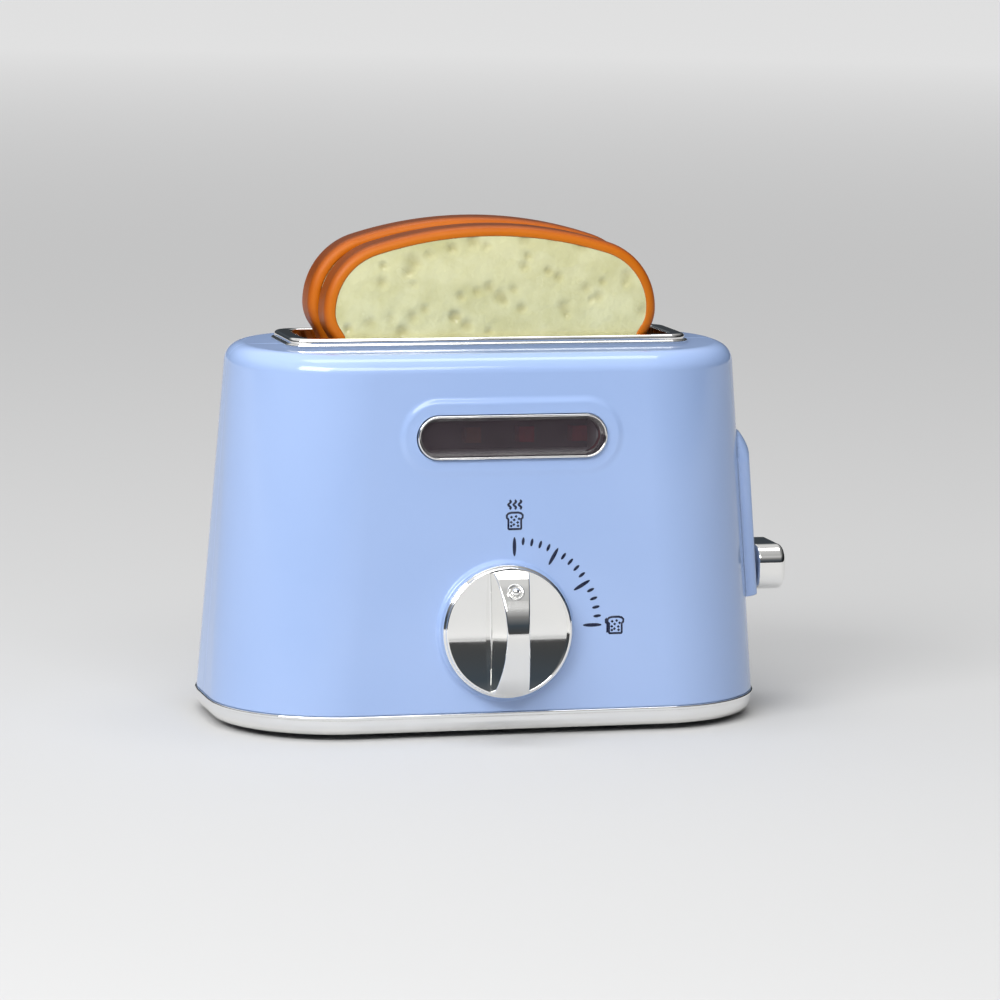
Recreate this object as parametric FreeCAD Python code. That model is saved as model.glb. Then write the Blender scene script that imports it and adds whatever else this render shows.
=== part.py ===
import FreeCAD, Part
import os
from math import atan, atan2, cos, degrees, pi, sin, sqrt
from FreeCAD import Placement, Rotation, Vector

# Toy pop-up toaster with two slices of play bread.  All sizes are in millimetres.
# +X is the toaster's right as its front is faced, +Y is its back, +Z is up.
# It is drawn about the middle of the housing, on the table, and written about the middle of the whole toy.

# Housing: a drafted block, narrower at the top, in a front and a rear half.
BODY_WIDTH = 169.0            # across the lower edge
BODY_DEPTH = 90.0             # front to back at the lower edge
BODY_CORNER = 37.0            # radius of its upright corners
BODY_BOTTOM = 7.5             # height of the lower edge
BODY_TOP = 113.5              # height of the flat top
BODY_DRAFT = 6.8              # how far every wall leans in over its height
BODY_WALL = 2.2
TOP_BEVEL = 3.0               # bevel of the top edge

# Chrome skirt under the housing, the plate that closes the bottom, and the feet.
SKIRT_BOTTOM = 2.0
SKIRT_PROUD = 0.5             # its upper edge stands out past the housing
SKIRT_TUCK = 1.6              # its lower edge tucks in
SKIRT_WALL = 2.4
PLATE_BOTTOM = 2.6
PLATE_THICKNESS = 2.2
PLATE_CLEARANCE = 0.3
FOOT_RADIUS = 6.5
FOOT_X = 61.0
FOOT_Y = 21.0

# Slot in the top with its chrome frame, and the well that hangs under it.
SLOT_LENGTH = 114.0
SLOT_DEPTH = 26.0
SLOT_CORNER = 4.0
FRAME_RIM_END = 5.5           # width of the frame's rim at its ends
FRAME_RIM_SIDE = 3.5          # width of the frame's rim along its sides
FRAME_CORNER = 7.0
FRAME_HEIGHT = 2.9            # how far the frame stands above the top
FRAME_STEP = 1.1              # height of the frame's lower step
FRAME_RIM_BEVEL = 1.1
FRAME_STEP_IN = 0.9           # how far the upper part is set in from the step
COLLAR_WALL = 1.6
COLLAR_DROP = 4.0
COLLAR_CLEARANCE = 0.2
WELL_WALL = 1.5
WELL_EASE = 0.5               # the well is this much larger than the slot all round
WELL_FLOOR = 53.0
WELL_FLANGE_END = 4.0         # how far the flange stands out past the well's ends
WELL_FLANGE_SIDE = 8.0        # and past its sides
WELL_FLANGE_THICKNESS = 2.0
STANDOFF_SIZE = 6.0           # blocks under the top that the flange is bonded to
STANDOFF_X = 48.0
STANDOFF_Y = 19.5
CRUMB_SLOT_WIDTH = 4.0
CRUMB_SLOT_LENGTH = 18.0
CRUMB_SLOT_PITCH = 21.0
CRUMB_SLOT_COUNT = 5

# Window in the front, with its chrome bezel, smoked lens and the lamps behind it.
WINDOW_Z = 89.3
BEZEL_LENGTH = 58.0
BEZEL_HEIGHT = 13.0
BEZEL_RIM = 0.7
BEZEL_LEDGE = 0.9             # width of the ledge that the lens rests on
BEZEL_DEEP = 6.0              # front to back
BEZEL_CLEARANCE = 0.2
BEZEL_PROUD = 0.6             # the rim stands out past the raised surround
SURROUND_MARGIN = 4.0
SURROUND_PROUD = 0.8
SURROUND_BEVEL = 0.6
LENS_DEEP = 1.2               # how far the lens lies behind the rim
LENS_THICKNESS = 1.5
LAMP_BOX_DEEP = 10.0
LAMP_BOX_WALL = 1.2
LAMP_SIZE = 4.6
LAMP_LENGTH = 5.0
LAMP_X = (-9.4, 7.0, 23.4)
BOARD_THICKNESS = 1.2

# Knob on the front, its plinth, its shaft and the timer that it turns.
KNOB_X = -2.3
KNOB_Z = 31.8
KNOB_RADIUS = 19.8
KNOB_RIM = 3.4                # thickness of the knob at its rim
KNOB_BEVEL = 1.0
KNOB_DISH = 1.7               # how deep its face is dished beside the grip
KNOB_FLOOR_RADIUS = 14.0
GRIP_RISE = 11.0              # the grip's highest point, above the rim
GRIP_END_RISE = 1.8           # the grip's height above the rim at its ends
GRIP_END_WIDTH = 11.6
GRIP_WAIST = 6.8
POINTER_OFFSET = 12.6         # the pointer's distance from the axis
POINTER_RADIUS = 1.2
POINTER_HEIGHT = 1.2
POINTER_RECESS = 2.1
POINTER_RECESS_DEEP = 0.6
PLINTH_RADIUS = 20.8
PLINTH_PROUD = 1.2
KNOB_CLEARANCE = 0.4
SHAFT_RADIUS = 3.0
SHAFT_FLAT = 2.2              # from the axis to the flat of its D section
SHAFT_RUN = 0.06              # radial running clearance in the timer
SHAFT_HOLE_CLEARANCE = 0.6
SHAFT_GRIP = 7.0              # length of shaft inside the knob
TIMER_WIDTH = 42.0
TIMER_HEIGHT = 40.0
TIMER_DEPTH = 15.0
TIMER_EAR = 6.0               # how far an ear stands out each side
TIMER_EAR_WIDTH = 12.0
TIMER_EAR_THICKNESS = 2.2
TIMER_STANDOFF = 3.0          # blocks on the front wall that the ears are bonded to
TIMER_HOLE_DEEP = 9.0

# Raised lever tower on the right side, and the lever, its carriage and the rod.
TOWER_BOTTOM = 35.5
TOWER_TOP = 86.5
TOWER_WIDTH = 36.0
TOWER_CORNER = 9.0
TOWER_PROUD = 3.5
TOWER_BEVEL = 2.0
LEVER_TRAVEL = 26.0
LEVER_STEM_THICKNESS = 4.0
LEVER_STEM_HEIGHT = 8.0
LEVER_STEM_BOTTOM = 39.0
LEVER_SLOT_SIDE = 0.6         # room beside the stem in its slot
LEVER_SLOT_END = 1.5          # room past the stem at each end of its slot
HANDLE_THICKNESS = 9.0
HANDLE_WIDTH = 24.0
HANDLE_HEIGHT = 14.0
HANDLE_CORNER = 5.6
HANDLE_BEVEL = 2.0            # round its outer face
HANDLE_GAP = 0.6
HANDLE_SOCKET = 4.0           # how far the stem goes into the handle
TRAY_TOP = 60.0
TRAY_THICKNESS = 2.0
TRAY_LENGTH = 108.0
TRAY_DEPTH = 22.0
TRAY_RIB = 1.4                # the rear slice stands on a rib this high
TRAY_RIB_DEPTH = 8.0
TRAY_WINDOWS = 3              # openings that let crumbs fall through
TRAY_WINDOW_LENGTH = 26.0
TRAY_WINDOW_DEPTH = 4.0
TRAY_WINDOW_PITCH = 34.0
SLIDER_LENGTH = 11.0
SLIDER_DEPTH = 15.0
SLIDER_BOTTOM = 38.0
SLIDER_TOP = 62.0
SLIDER_GAP = 1.5              # from the well's end wall to the slider
ARM_WIDTH = 6.0
ARM_HEIGHT = 7.0
ARM_SLOT_CLEARANCE = 1.0
ROD_RADIUS = 2.0
ROD_RUN = 0.08                # radial running clearance in the slider
ROD_SEAT_HEIGHT = 3.0
ROD_SEAT_WALL = 1.6

# Two play slices of bread, one behind the other: each a ring of crust with a cream face let into both sides.
BREAD_TOP = 149.6             # of the front slice
BREAD_WIDTH = 103.2
BREAD_WIDEST_Z = 123.8
BREAD_CORNER = 21.2           # radius of its upper corners
BREAD_SHOULDER = 12.0         # radius under its widest place
BREAD_WAIST_WIDTH = 92.0
BREAD_WAIST_Z = 106.0         # where the hollow of its neck ends
BREAD_FOOT_CORNER = 3.6
BREAD_REST_GAP = 0.3
BREAD_BEVEL = 1.9             # bevel of the crust's outer edges
SLICE_THICKNESS = 12.0
SLICE_GAP = 0.8               # between the two slices
FRONT_SLICE_X = 0.6
REAR_SLICE_X = -1.5
CRUST_BORDER = 2.3            # width of crust round the cream face
FACE_THICKNESS = 1.6
FACE_PROUD = 0.2

# Bay for two AA cells, its door, the loudspeaker, the main board and the power switch.
BAY_X = -20.0
BAY_Y = 10.0
CELL_RADIUS = 7.1
CELL_LENGTH = 49.5
CELL_GAP = 0.8
BAY_WALL = 1.4
CONTACT_THICKNESS = 0.5
CONTACT_WIDTH = 11.4
CONTACT_HEIGHT = 13.0
CONTACT_GAP = 0.3
DOOR_THICKNESS = 1.6
DOOR_MARGIN = 3.0
DOOR_CLEARANCE = 0.25
DOOR_TAB = 9.0                # the door's tongue that takes its screw
DOOR_POST = 6.8
SPEAKER_X = 33.0
SPEAKER_Y = 14.0
SPEAKER_RADIUS = 13.5
SPEAKER_FRAME_HEIGHT = 3.4
SPEAKER_MAGNET_SIZE = 12.0
SPEAKER_MAGNET_HEIGHT = 2.6
GRILLE_MARGIN = 1.4           # from the slots' ends to the loudspeaker's edge
GRILLE_SLOTS = 5
GRILLE_SLOT_WIDTH = 1.6
GRILLE_PITCH = 4.0
MAIN_BOARD_LENGTH = 46.0
MAIN_BOARD_DEPTH = 20.0
MAIN_BOARD_X = -18.0
MAIN_BOARD_Z = 30.0
MAIN_BOARD_GAP = 1.8          # from its rear edge to the rear wall
LEDGE_WIDTH = 4.0             # ledges on the rear wall that carry the main board
LEDGE_HEIGHT = 3.0
LEDGE_REACH = 5.0
LEDGE_SPACING = 34.0
SWITCH_X = 33.0
SWITCH_Y = -12.0
SWITCH_LENGTH = 12.0
SWITCH_DEPTH = 6.0
SWITCH_HEIGHT = 6.0
SWITCH_WALL_HEIGHT = 3.0
SWITCH_NUB_LENGTH = 3.6
SWITCH_NUB_DEPTH = 2.6
SWITCH_NUB_HEIGHT = 4.6
SWITCH_TRAVEL = 3.0
SWITCH_ROOM = 0.3
SWITCH_RECESS = 1.2

# Screw posts that hold the bottom plate, and the holes for the screws.
POST_X = 46.0
POST_Y = 31.5
POST_WIDTH = 6.8
POST_HEIGHT = 22.0
PILOT_RADIUS = 1.1
PILOT_DEPTH = 8.0
SCREW_HOLE_RADIUS = 1.4

UP = Vector(0, 0, 1)
RIGHT = Vector(1, 0, 0)
BACK = Vector(0, 1, 0)
FAR = 400.0                   # longer than anything that is cut through
EMBED = 0.6                   # how far a fused boss reaches into its wall
OVER = 1.0                    # how far a cut starts outside what it cuts

DRAFT_SLOPE = BODY_DRAFT / (BODY_TOP - BODY_BOTTOM)
FACE_LEAN = degrees(atan(DRAFT_SLOPE))


# ---- shapes that several pieces use ---------------------------------------

def body_inset(z):
    """How far the housing's wall has leaned in at height z."""
    return DRAFT_SLOPE * (z - BODY_BOTTOM)


def front_y(z):
    """Y of the housing's front face at height z."""
    return body_inset(z) - BODY_DEPTH / 2


def side_x(z):
    """X of the housing's right side at height z."""
    return BODY_WIDTH / 2 - body_inset(z)


def rounded_wire(width, depth, corner, z=0.0):
    """A rectangle with round corners, centred on the Z axis at height z."""
    x = width / 2 - corner
    y = depth / 2 - corner
    arcs = []
    for turn, centre in enumerate(((x, -y), (x, y), (-x, y), (-x, -y))):
        start = (90 * turn + 270) % 360
        arcs.append(Part.makeCircle(corner, Vector(*centre, z), UP, start, start + 90))
    edges = []
    for turn, arc in enumerate(arcs):
        edges.append(arc)
        joint = arc.lastVertex().Point
        target = arcs[(turn + 1) % 4].firstVertex().Point
        if joint.distanceToPoint(target) > 1e-6:
            edges.append(Part.makeLine(joint, target))
    return Part.Wire(edges)


def prism(wire, travel):
    """The solid that a flat closed wire sweeps along a vector."""
    return Part.Face(wire).extrude(travel)


def rounded_block(width, depth, corner, low, high, x=0.0, y=0.0):
    """An upright block with round corners, centred at x, y."""
    block = prism(rounded_wire(width, depth, corner, low), UP * (high - low))
    block.translate(Vector(x, y, 0))
    return block


def block(x_range, y_range, z_range):
    """A plain block between two corners."""
    size = [high - low for low, high in (x_range, y_range, z_range)]
    return Part.makeBox(*size, Vector(x_range[0], y_range[0], z_range[0]))


def centred(x, y, length, depth, low, high):
    """A plain block centred at x, y."""
    return block((x - length / 2, x + length / 2), (y - depth / 2, y + depth / 2), (low, high))


def square_block(size, low, high, x, y):
    """An upright square block, centred at x, y."""
    return centred(x, y, size, size, low, high)


def rod(radius, low, high, x=0.0, y=0.0):
    """An upright cylinder."""
    return Part.makeCylinder(radius, high - low, Vector(x, y, low), UP)


def body_corner(inset):
    """Radius of the upright corners, moved in by inset; half the top's depth limits it."""
    return min(BODY_CORNER, BODY_DEPTH / 2 - BODY_DRAFT - EMBED) - inset


def body_wire(inset, z):
    """The housing's outline at height z, moved in by inset."""
    shrink = 2 * (body_inset(z) + inset)
    return rounded_wire(BODY_WIDTH - shrink, BODY_DEPTH - shrink, body_corner(inset), z)


def drafted_block(inset, low, high):
    """The housing's tapered form between two heights, moved in by inset, its upright corners rounded."""
    low_x = side_x(low) - inset
    high_x = side_x(high) - inset
    low_y = -front_y(low) - inset
    high_y = -front_y(high) - inset
    taper = Part.makeWedge(-low_x, low, -low_y, -high_y, -high_x, low_x, high, low_y, high_y, high_x)
    taper.rotate(Vector(), RIGHT, 90)
    upright = [e for e in taper.Edges if abs(e.firstVertex().Z - e.lastVertex().Z) > (high - low) / 2]
    return taper.makeFillet(body_corner(inset), upright)


def edges_at_height(shape, z):
    """The edges of a shape that lie wholly at height z."""
    return [e for e in shape.Edges if all(abs(v.Z - z) < 1e-4 for v in e.Vertexes)]


def bevel_at_height(shape, size, z):
    """A shape with its edges at height z bevelled."""
    return shape.makeChamfer(size, edges_at_height(shape, z))


def on_front(shape, x, z):
    """Place a shape on the leaning front: its XY plane on the face, its Z axis outward."""
    placed = shape.copy()
    turn = Rotation(RIGHT, 90 - FACE_LEAN)
    placed.Placement = Placement(Vector(x, front_y(z), z), turn).multiply(placed.Placement)
    return placed


def both_ways(x, y):
    """The four places at plus or minus x and plus or minus y."""
    return [(sx * x, sy * y) for sx in (-1, 1) for sy in (-1, 1)]


def save(name, *solids):
    """Keep one node, made of one or more solids."""
    NODES[name] = solids[0] if len(solids) == 1 else Part.makeCompound(list(solids))


# ---- the bread -------------------------------------------------------------

def arc(centre, radius, turn_from, turn_to):
    """A round stretch in the plane Y = 0; turns are in radians from +X towards +Z."""
    points = []
    for turn in (turn_from, (turn_from + turn_to) / 2, turn_to):
        points.append(centre + Vector(radius * cos(turn), 0, radius * sin(turn)))
    return Part.Arc(*points).toShape()


def bread_outline(inset=0.0):
    """The slice seen from the front, in the plane Y = 0: domed top, shoulders, neck and foot."""
    half = BREAD_WIDTH / 2
    waist = BREAD_WAIST_WIDTH / 2
    foot_z = TRAY_TOP + BREAD_REST_GAP
    # The crown is the round top that runs smoothly into both upper corners.
    rise = BREAD_TOP - BREAD_WIDEST_Z
    reach = half - BREAD_CORNER
    crown = (reach ** 2 + rise ** 2 - BREAD_CORNER ** 2) / (2 * (rise - BREAD_CORNER))
    crown_centre = Vector(0, 0, BREAD_TOP - crown)
    corner_centre = Vector(reach, 0, BREAD_WIDEST_Z)
    crown_turn = atan2(corner_centre.z - crown_centre.z, reach)
    # The neck's hollow runs smoothly out of the shoulder and ends upright at the waist.
    tuck = half - waist
    drop = BREAD_WIDEST_Z - BREAD_WAIST_Z
    hollow = (tuck ** 2 + drop ** 2) / (2 * tuck) - BREAD_SHOULDER
    shoulder_centre = Vector(half - BREAD_SHOULDER, 0, BREAD_WIDEST_Z)
    hollow_centre = Vector(waist + hollow, 0, BREAD_WAIST_Z)
    neck_turn = atan2(-drop, hollow_centre.x - shoulder_centre.x)
    foot_centre = Vector(waist - BREAD_FOOT_CORNER, 0, foot_z + BREAD_FOOT_CORNER)

    foot = arc(foot_centre, BREAD_FOOT_CORNER - inset, -pi / 2, 0)
    neck = arc(hollow_centre, hollow + inset, pi, neck_turn + pi)
    shoulder = arc(shoulder_centre, BREAD_SHOULDER - inset, neck_turn, 0)
    corner = arc(corner_centre, BREAD_CORNER - inset, 0, crown_turn)
    top = arc(crown_centre, crown - inset, crown_turn, pi - crown_turn)
    right = [foot, Part.makeLine(foot.lastVertex().Point, neck.firstVertex().Point), neck, shoulder, corner]
    left = [edge.mirror(Vector(), RIGHT) for edge in reversed(right)]
    base = Part.makeLine(Vector(-foot_centre.x, 0, foot_z + inset), Vector(foot_centre.x, 0, foot_z + inset))
    return Part.Wire(right + [top] + left + [base])


def slab(inset, front, back):
    """A slab of the slice's outline, moved in by inset, between two values of Y."""
    solid = prism(bread_outline(inset), BACK * (back - front))
    solid.translate(BACK * front)
    return solid


def edges_at_depth(shape, y):
    """The edges of a shape that lie wholly in the plane at y."""
    return [e for e in shape.Edges if all(abs(v.Y - y) < 1e-4 for v in e.Vertexes)]


def make_bread():
    half = SLICE_THICKNESS / 2
    crust = slab(0, -half, half)
    crust = crust.makeChamfer(BREAD_BEVEL, edges_at_depth(crust, -half) + edges_at_depth(crust, half))
    crust = crust.cut(slab(CRUST_BORDER, -half, half))
    face = slab(CRUST_BORDER, -half - FACE_PROUD, -half - FACE_PROUD + FACE_THICKNESS)
    pieces = (("crust", [crust]), ("faces", [face, face.mirror(Vector(), BACK)]))
    to_side = half + SLICE_GAP / 2
    places = {
        "front_slice": Vector(FRONT_SLICE_X, -to_side, 0),
        "rear_slice": Vector(REAR_SLICE_X, to_side, TRAY_RIB),
    }
    for slice_name, place in places.items():
        for piece_name, solids in pieces:
            save(slice_name + "_" + piece_name, *[solid.translated(place) for solid in solids])


# ---- the housing -----------------------------------------------------------

def tower_profile(shrink, low_x, high_x):
    """The lever tower's outline, arched at the top, as a block along X."""
    half = TOWER_WIDTH / 2 - shrink
    low = TOWER_BOTTOM + shrink
    high = TOWER_TOP - shrink
    upper = prism(rounded_wire(2 * half, 2 * (high - low), TOWER_CORNER - shrink), UP * (high_x - low_x))
    upper.Placement = Placement(Vector(low_x, 0, low), Rotation(Vector(1, 1, 1), 120))
    keep = block((low_x, high_x), (-half, half), (low, high))
    return upper.common(keep)


def tower_solid(proud, shrink):
    """The tower: the housing's own curved side, moved out and bounded by its outline."""
    skin = drafted_block(-proud, BODY_BOTTOM, BODY_TOP)
    return skin.common(tower_profile(shrink, BODY_WIDTH / 4, BODY_WIDTH))


def bevelled_tower():
    """The tower with the edge round its outer face bevelled."""
    tower = tower_solid(TOWER_PROUD, 0)
    under_skin = drafted_block(TOWER_BEVEL - TOWER_PROUD, BODY_BOTTOM, BODY_TOP)
    off_wall = tower_profile(TOWER_BEVEL, BODY_WIDTH / 4, BODY_WIDTH)
    rim = []
    for edge in tower.Edges:
        middle = edge.valueAt((edge.FirstParameter + edge.LastParameter) / 2)
        if not under_skin.isInside(middle, 1e-3, True) and not off_wall.isInside(middle, 1e-3, True):
            rim.append(edge)
    return tower.makeChamfer(TOWER_BEVEL, rim)


def stadium(length, height, low, high):
    """A bar with round ends, standing on the XY plane."""
    return prism(rounded_wire(length, height, height / 2, low), UP * (high - low))


def lever_slot_range():
    """Heights between which the lever's slot is open."""
    return (LEVER_STEM_BOTTOM - LEVER_SLOT_END,
            LEVER_STEM_BOTTOM + LEVER_STEM_HEIGHT + LEVER_TRAVEL + LEVER_SLOT_END)


def housing_solid():
    """The whole housing before it is split in two."""
    outer = bevel_at_height(drafted_block(0, BODY_BOTTOM, BODY_TOP), TOP_BEVEL, BODY_TOP)
    surround = stadium(BEZEL_LENGTH + 2 * SURROUND_MARGIN, BEZEL_HEIGHT + 2 * SURROUND_MARGIN,
                       -EMBED, SURROUND_PROUD)
    surround = bevel_at_height(surround, SURROUND_BEVEL, SURROUND_PROUD)
    plinth = rod(PLINTH_RADIUS, -EMBED, PLINTH_PROUD)
    raised = [bevelled_tower(), on_front(surround, 0, WINDOW_Z), on_front(plinth, KNOB_X, KNOB_Z)]

    ceiling = BODY_TOP - BODY_WALL
    inner_bevel = TOP_BEVEL - (2 - sqrt(2)) * BODY_WALL
    inner = bevel_at_height(drafted_block(BODY_WALL, BODY_BOTTOM, ceiling), inner_bevel, ceiling)
    inner = inner.fuse(tower_solid(TOWER_PROUD - BODY_WALL, BODY_WALL))
    inner_room = drafted_block(BODY_WALL - EMBED, BODY_BOTTOM, ceiling + EMBED)
    bosses = [boss.common(inner_room) for boss in housing_bosses()]
    shell = outer.fuse(raised).cut(inner).fuse(bosses)

    collar_ease = 2 * COLLAR_WALL + 2 * COLLAR_CLEARANCE
    collar = rounded_block(SLOT_LENGTH + collar_ease, SLOT_DEPTH + collar_ease,
                           SLOT_CORNER + collar_ease / 2, ceiling - OVER, BODY_TOP + OVER)
    window = stadium(BEZEL_LENGTH + 2 * BEZEL_CLEARANCE, BEZEL_HEIGHT + 2 * BEZEL_CLEARANCE,
                     -BEZEL_DEEP, BEZEL_DEEP)
    shaft_hole = rod(SHAFT_RADIUS + SHAFT_HOLE_CLEARANCE, -BODY_WALL - OVER, PLINTH_PROUD + OVER)
    half_slot = LEVER_STEM_THICKNESS / 2 + LEVER_SLOT_SIDE
    lever_slot = block((BODY_WIDTH / 4, BODY_WIDTH), (-half_slot, half_slot), lever_slot_range())
    openings = [collar, on_front(window, 0, WINDOW_Z), on_front(shaft_hole, KNOB_X, KNOB_Z), lever_slot]
    return shell.cut(openings).removeSplitter()


def housing_bosses():
    """Screw posts, the well's standoffs, the timer's bosses and the main board's ledges."""
    bosses = []
    for x, y in both_ways(POST_X, POST_Y):
        side = 1 if y > 0 else -1
        x_range = (x - POST_WIDTH / 2, x + POST_WIDTH / 2)
        y_range = sorted((y - side * POST_WIDTH / 2, side * BODY_DEPTH / 2))
        post = block(x_range, y_range, (BODY_BOTTOM, BODY_BOTTOM + POST_HEIGHT))
        bosses.append(post.cut(rod(PILOT_RADIUS, 0, BODY_BOTTOM + PILOT_DEPTH, x, y)))
    for x, y in both_ways(STANDOFF_X, STANDOFF_Y):
        bosses.append(square_block(STANDOFF_SIZE, BODY_TOP - COLLAR_DROP, BODY_TOP, x, y))
    for x in (-1, 1):
        ear_x = x * (TIMER_WIDTH + TIMER_EAR) / 2
        boss = square_block(TIMER_EAR, -BODY_WALL - TIMER_STANDOFF, 0, ear_x, 0)
        bosses.append(on_front(boss, KNOB_X, KNOB_Z))
    for side in (-1, 1):
        x = MAIN_BOARD_X + side * LEDGE_SPACING / 2
        inner_y = main_board_back() - LEDGE_REACH
        bosses.append(block((x - LEDGE_WIDTH / 2, x + LEDGE_WIDTH / 2), (inner_y, BODY_DEPTH / 2),
                            (MAIN_BOARD_Z - LEDGE_HEIGHT, MAIN_BOARD_Z)))
    return bosses


def make_housing():
    shell = housing_solid()
    front_half = block((-FAR, FAR), (-FAR, 0), (-FAR, FAR))
    save("front_shell", shell.common(front_half))
    save("rear_shell", shell.cut(front_half))


# ---- slot frame and well ---------------------------------------------------

def make_slot_frame():
    length = SLOT_LENGTH + 2 * FRAME_RIM_END
    depth = SLOT_DEPTH + 2 * FRAME_RIM_SIDE
    step = rounded_block(length, depth, FRAME_CORNER, BODY_TOP, BODY_TOP + FRAME_STEP)
    rim_top = BODY_TOP + FRAME_HEIGHT
    rim = rounded_block(length - 2 * FRAME_STEP_IN, depth - 2 * FRAME_STEP_IN,
                        FRAME_CORNER - FRAME_STEP_IN, BODY_TOP, rim_top)
    rim = bevel_at_height(rim, FRAME_RIM_BEVEL, rim_top)
    collar = rounded_block(SLOT_LENGTH + 2 * COLLAR_WALL, SLOT_DEPTH + 2 * COLLAR_WALL,
                           SLOT_CORNER + COLLAR_WALL, BODY_TOP - COLLAR_DROP, BODY_TOP)
    hole = rounded_block(SLOT_LENGTH, SLOT_DEPTH, SLOT_CORNER, BODY_TOP - COLLAR_DROP, rim_top)
    save("slot_frame", step.fuse([rim, collar]).cut(hole).removeSplitter())


def make_well():
    """The open-topped box under the slot, its flange and the seat that hangs from it for the rod."""
    inner_x = SLOT_LENGTH / 2 + WELL_EASE
    inner_y = SLOT_DEPTH / 2 + WELL_EASE
    outer_x = inner_x + WELL_WALL
    outer_y = inner_y + WELL_WALL
    rim = BODY_TOP - COLLAR_DROP
    under = rim - WELL_FLANGE_THICKNESS
    corner = SLOT_CORNER + WELL_EASE
    outer = rounded_block(2 * outer_x, 2 * outer_y, corner + WELL_WALL, WELL_FLOOR, rim)
    room = rounded_block(2 * inner_x, 2 * inner_y, corner, WELL_FLOOR + WELL_WALL, rim)
    flange_x = outer_x + WELL_FLANGE_END
    flange_y = outer_y + WELL_FLANGE_SIDE
    flange = block((-flange_x, flange_x), (-flange_y, flange_y), (under, rim))
    bridge_x = slider_x() + ROD_RADIUS + ROD_SEAT_WALL
    bridge = block((0, bridge_x), (-SLIDER_DEPTH / 2, SLIDER_DEPTH / 2), (under, rim))
    seat = rod_seat(under - ROD_SEAT_HEIGHT, under)
    cuts = [room, guide_rod(under - ROD_SEAT_HEIGHT, under)]
    for place in range(CRUMB_SLOT_COUNT):
        x = (place - (CRUMB_SLOT_COUNT - 1) / 2) * CRUMB_SLOT_PITCH
        cuts.append(centred(x, 0, CRUMB_SLOT_WIDTH, CRUMB_SLOT_LENGTH, WELL_FLOOR, WELL_FLOOR + WELL_WALL))
    half = ARM_WIDTH / 2 + ARM_SLOT_CLEARANCE
    cuts.append(block((inner_x - WELL_WALL, outer_x + OVER), (-half, half),
                      (WELL_FLOOR, TRAY_TOP + LEVER_TRAVEL + ARM_SLOT_CLEARANCE)))
    save("bread_well", outer.fuse([flange, bridge, seat]).cut(cuts).removeSplitter())


# ---- window ----------------------------------------------------------------

def make_window():
    rim_out = SURROUND_PROUD + BEZEL_PROUD
    ring_back = rim_out - BEZEL_DEEP
    lens_out = rim_out - LENS_DEEP
    lens_back = lens_out - LENS_THICKNESS
    length = BEZEL_LENGTH - 2 * BEZEL_RIM
    height = BEZEL_HEIGHT - 2 * BEZEL_RIM
    ring = stadium(BEZEL_LENGTH, BEZEL_HEIGHT, ring_back, rim_out)
    pocket = stadium(length, height, lens_back, rim_out)
    throat = stadium(length - 2 * BEZEL_LEDGE, height - 2 * BEZEL_LEDGE, ring_back, lens_back)
    save("window_bezel", on_front(ring.cut([pocket, throat]), 0, WINDOW_Z))
    save("window_lens", on_front(stadium(length, height, lens_back, lens_out), 0, WINDOW_Z))

    box_back = ring_back - LAMP_BOX_DEEP
    box = centred(0, 0, length, height, box_back, ring_back)
    room = centred(0, 0, length - 2 * LAMP_BOX_WALL, height - 2 * LAMP_BOX_WALL, box_back, ring_back)
    save("lamp_box", on_front(box.cut(room), 0, WINDOW_Z))
    board = centred(0, 0, length, height, box_back - BOARD_THICKNESS, box_back)
    save("lamp_board", on_front(board, 0, WINDOW_Z))
    lamps = [square_block(LAMP_SIZE, box_back, box_back + LAMP_LENGTH, x, 0) for x in LAMP_X]
    save("lamps", *[on_front(lamp, 0, WINDOW_Z) for lamp in lamps])


# ---- knob and timer ----------------------------------------------------------

def grip_solid(low):
    """The knob's grip: a bar across its face, waisted in plan and arched in side view."""
    reach = KNOB_RADIUS - KNOB_BEVEL
    end = GRIP_END_WIDTH / 2
    waist = GRIP_WAIST / 2
    corners = [Vector(x, y, low) for x, y in ((end, reach), (-end, reach), (-end, -reach), (end, -reach))]
    plan = Part.Wire([
        Part.makeLine(corners[0], corners[1]),
        Part.Arc(corners[1], Vector(-waist, 0, low), corners[2]).toShape(),
        Part.makeLine(corners[2], corners[3]),
        Part.Arc(corners[3], Vector(waist, 0, low), corners[0]).toShape(),
    ])
    top = KNOB_RIM + GRIP_RISE
    shoulder = KNOB_RIM + GRIP_END_RISE
    side_low = [Vector(-end, reach, low), Vector(-end, -reach, low)]
    side_high = [Vector(-end, reach, shoulder), Vector(-end, -reach, shoulder)]
    side = Part.Wire([
        Part.makeLine(side_low[0], side_high[0]),
        Part.Arc(side_high[0], Vector(-end, 0, top), side_high[1]).toShape(),
        Part.makeLine(side_high[1], side_low[1]),
        Part.makeLine(side_low[1], side_low[0]),
    ])
    bar = prism(plan, UP * (top - low)).common(prism(side, RIGHT * 2 * end))
    return bar.common(rod(reach, low, top))


def pointer_height():
    """Height of the grip's arched top at the pointer."""
    reach = KNOB_RADIUS - KNOB_BEVEL
    sag = GRIP_RISE - GRIP_END_RISE
    arch = (reach ** 2 + sag ** 2) / (2 * sag)
    return KNOB_RIM + GRIP_RISE - arch + sqrt(arch ** 2 - POINTER_OFFSET ** 2)


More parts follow.
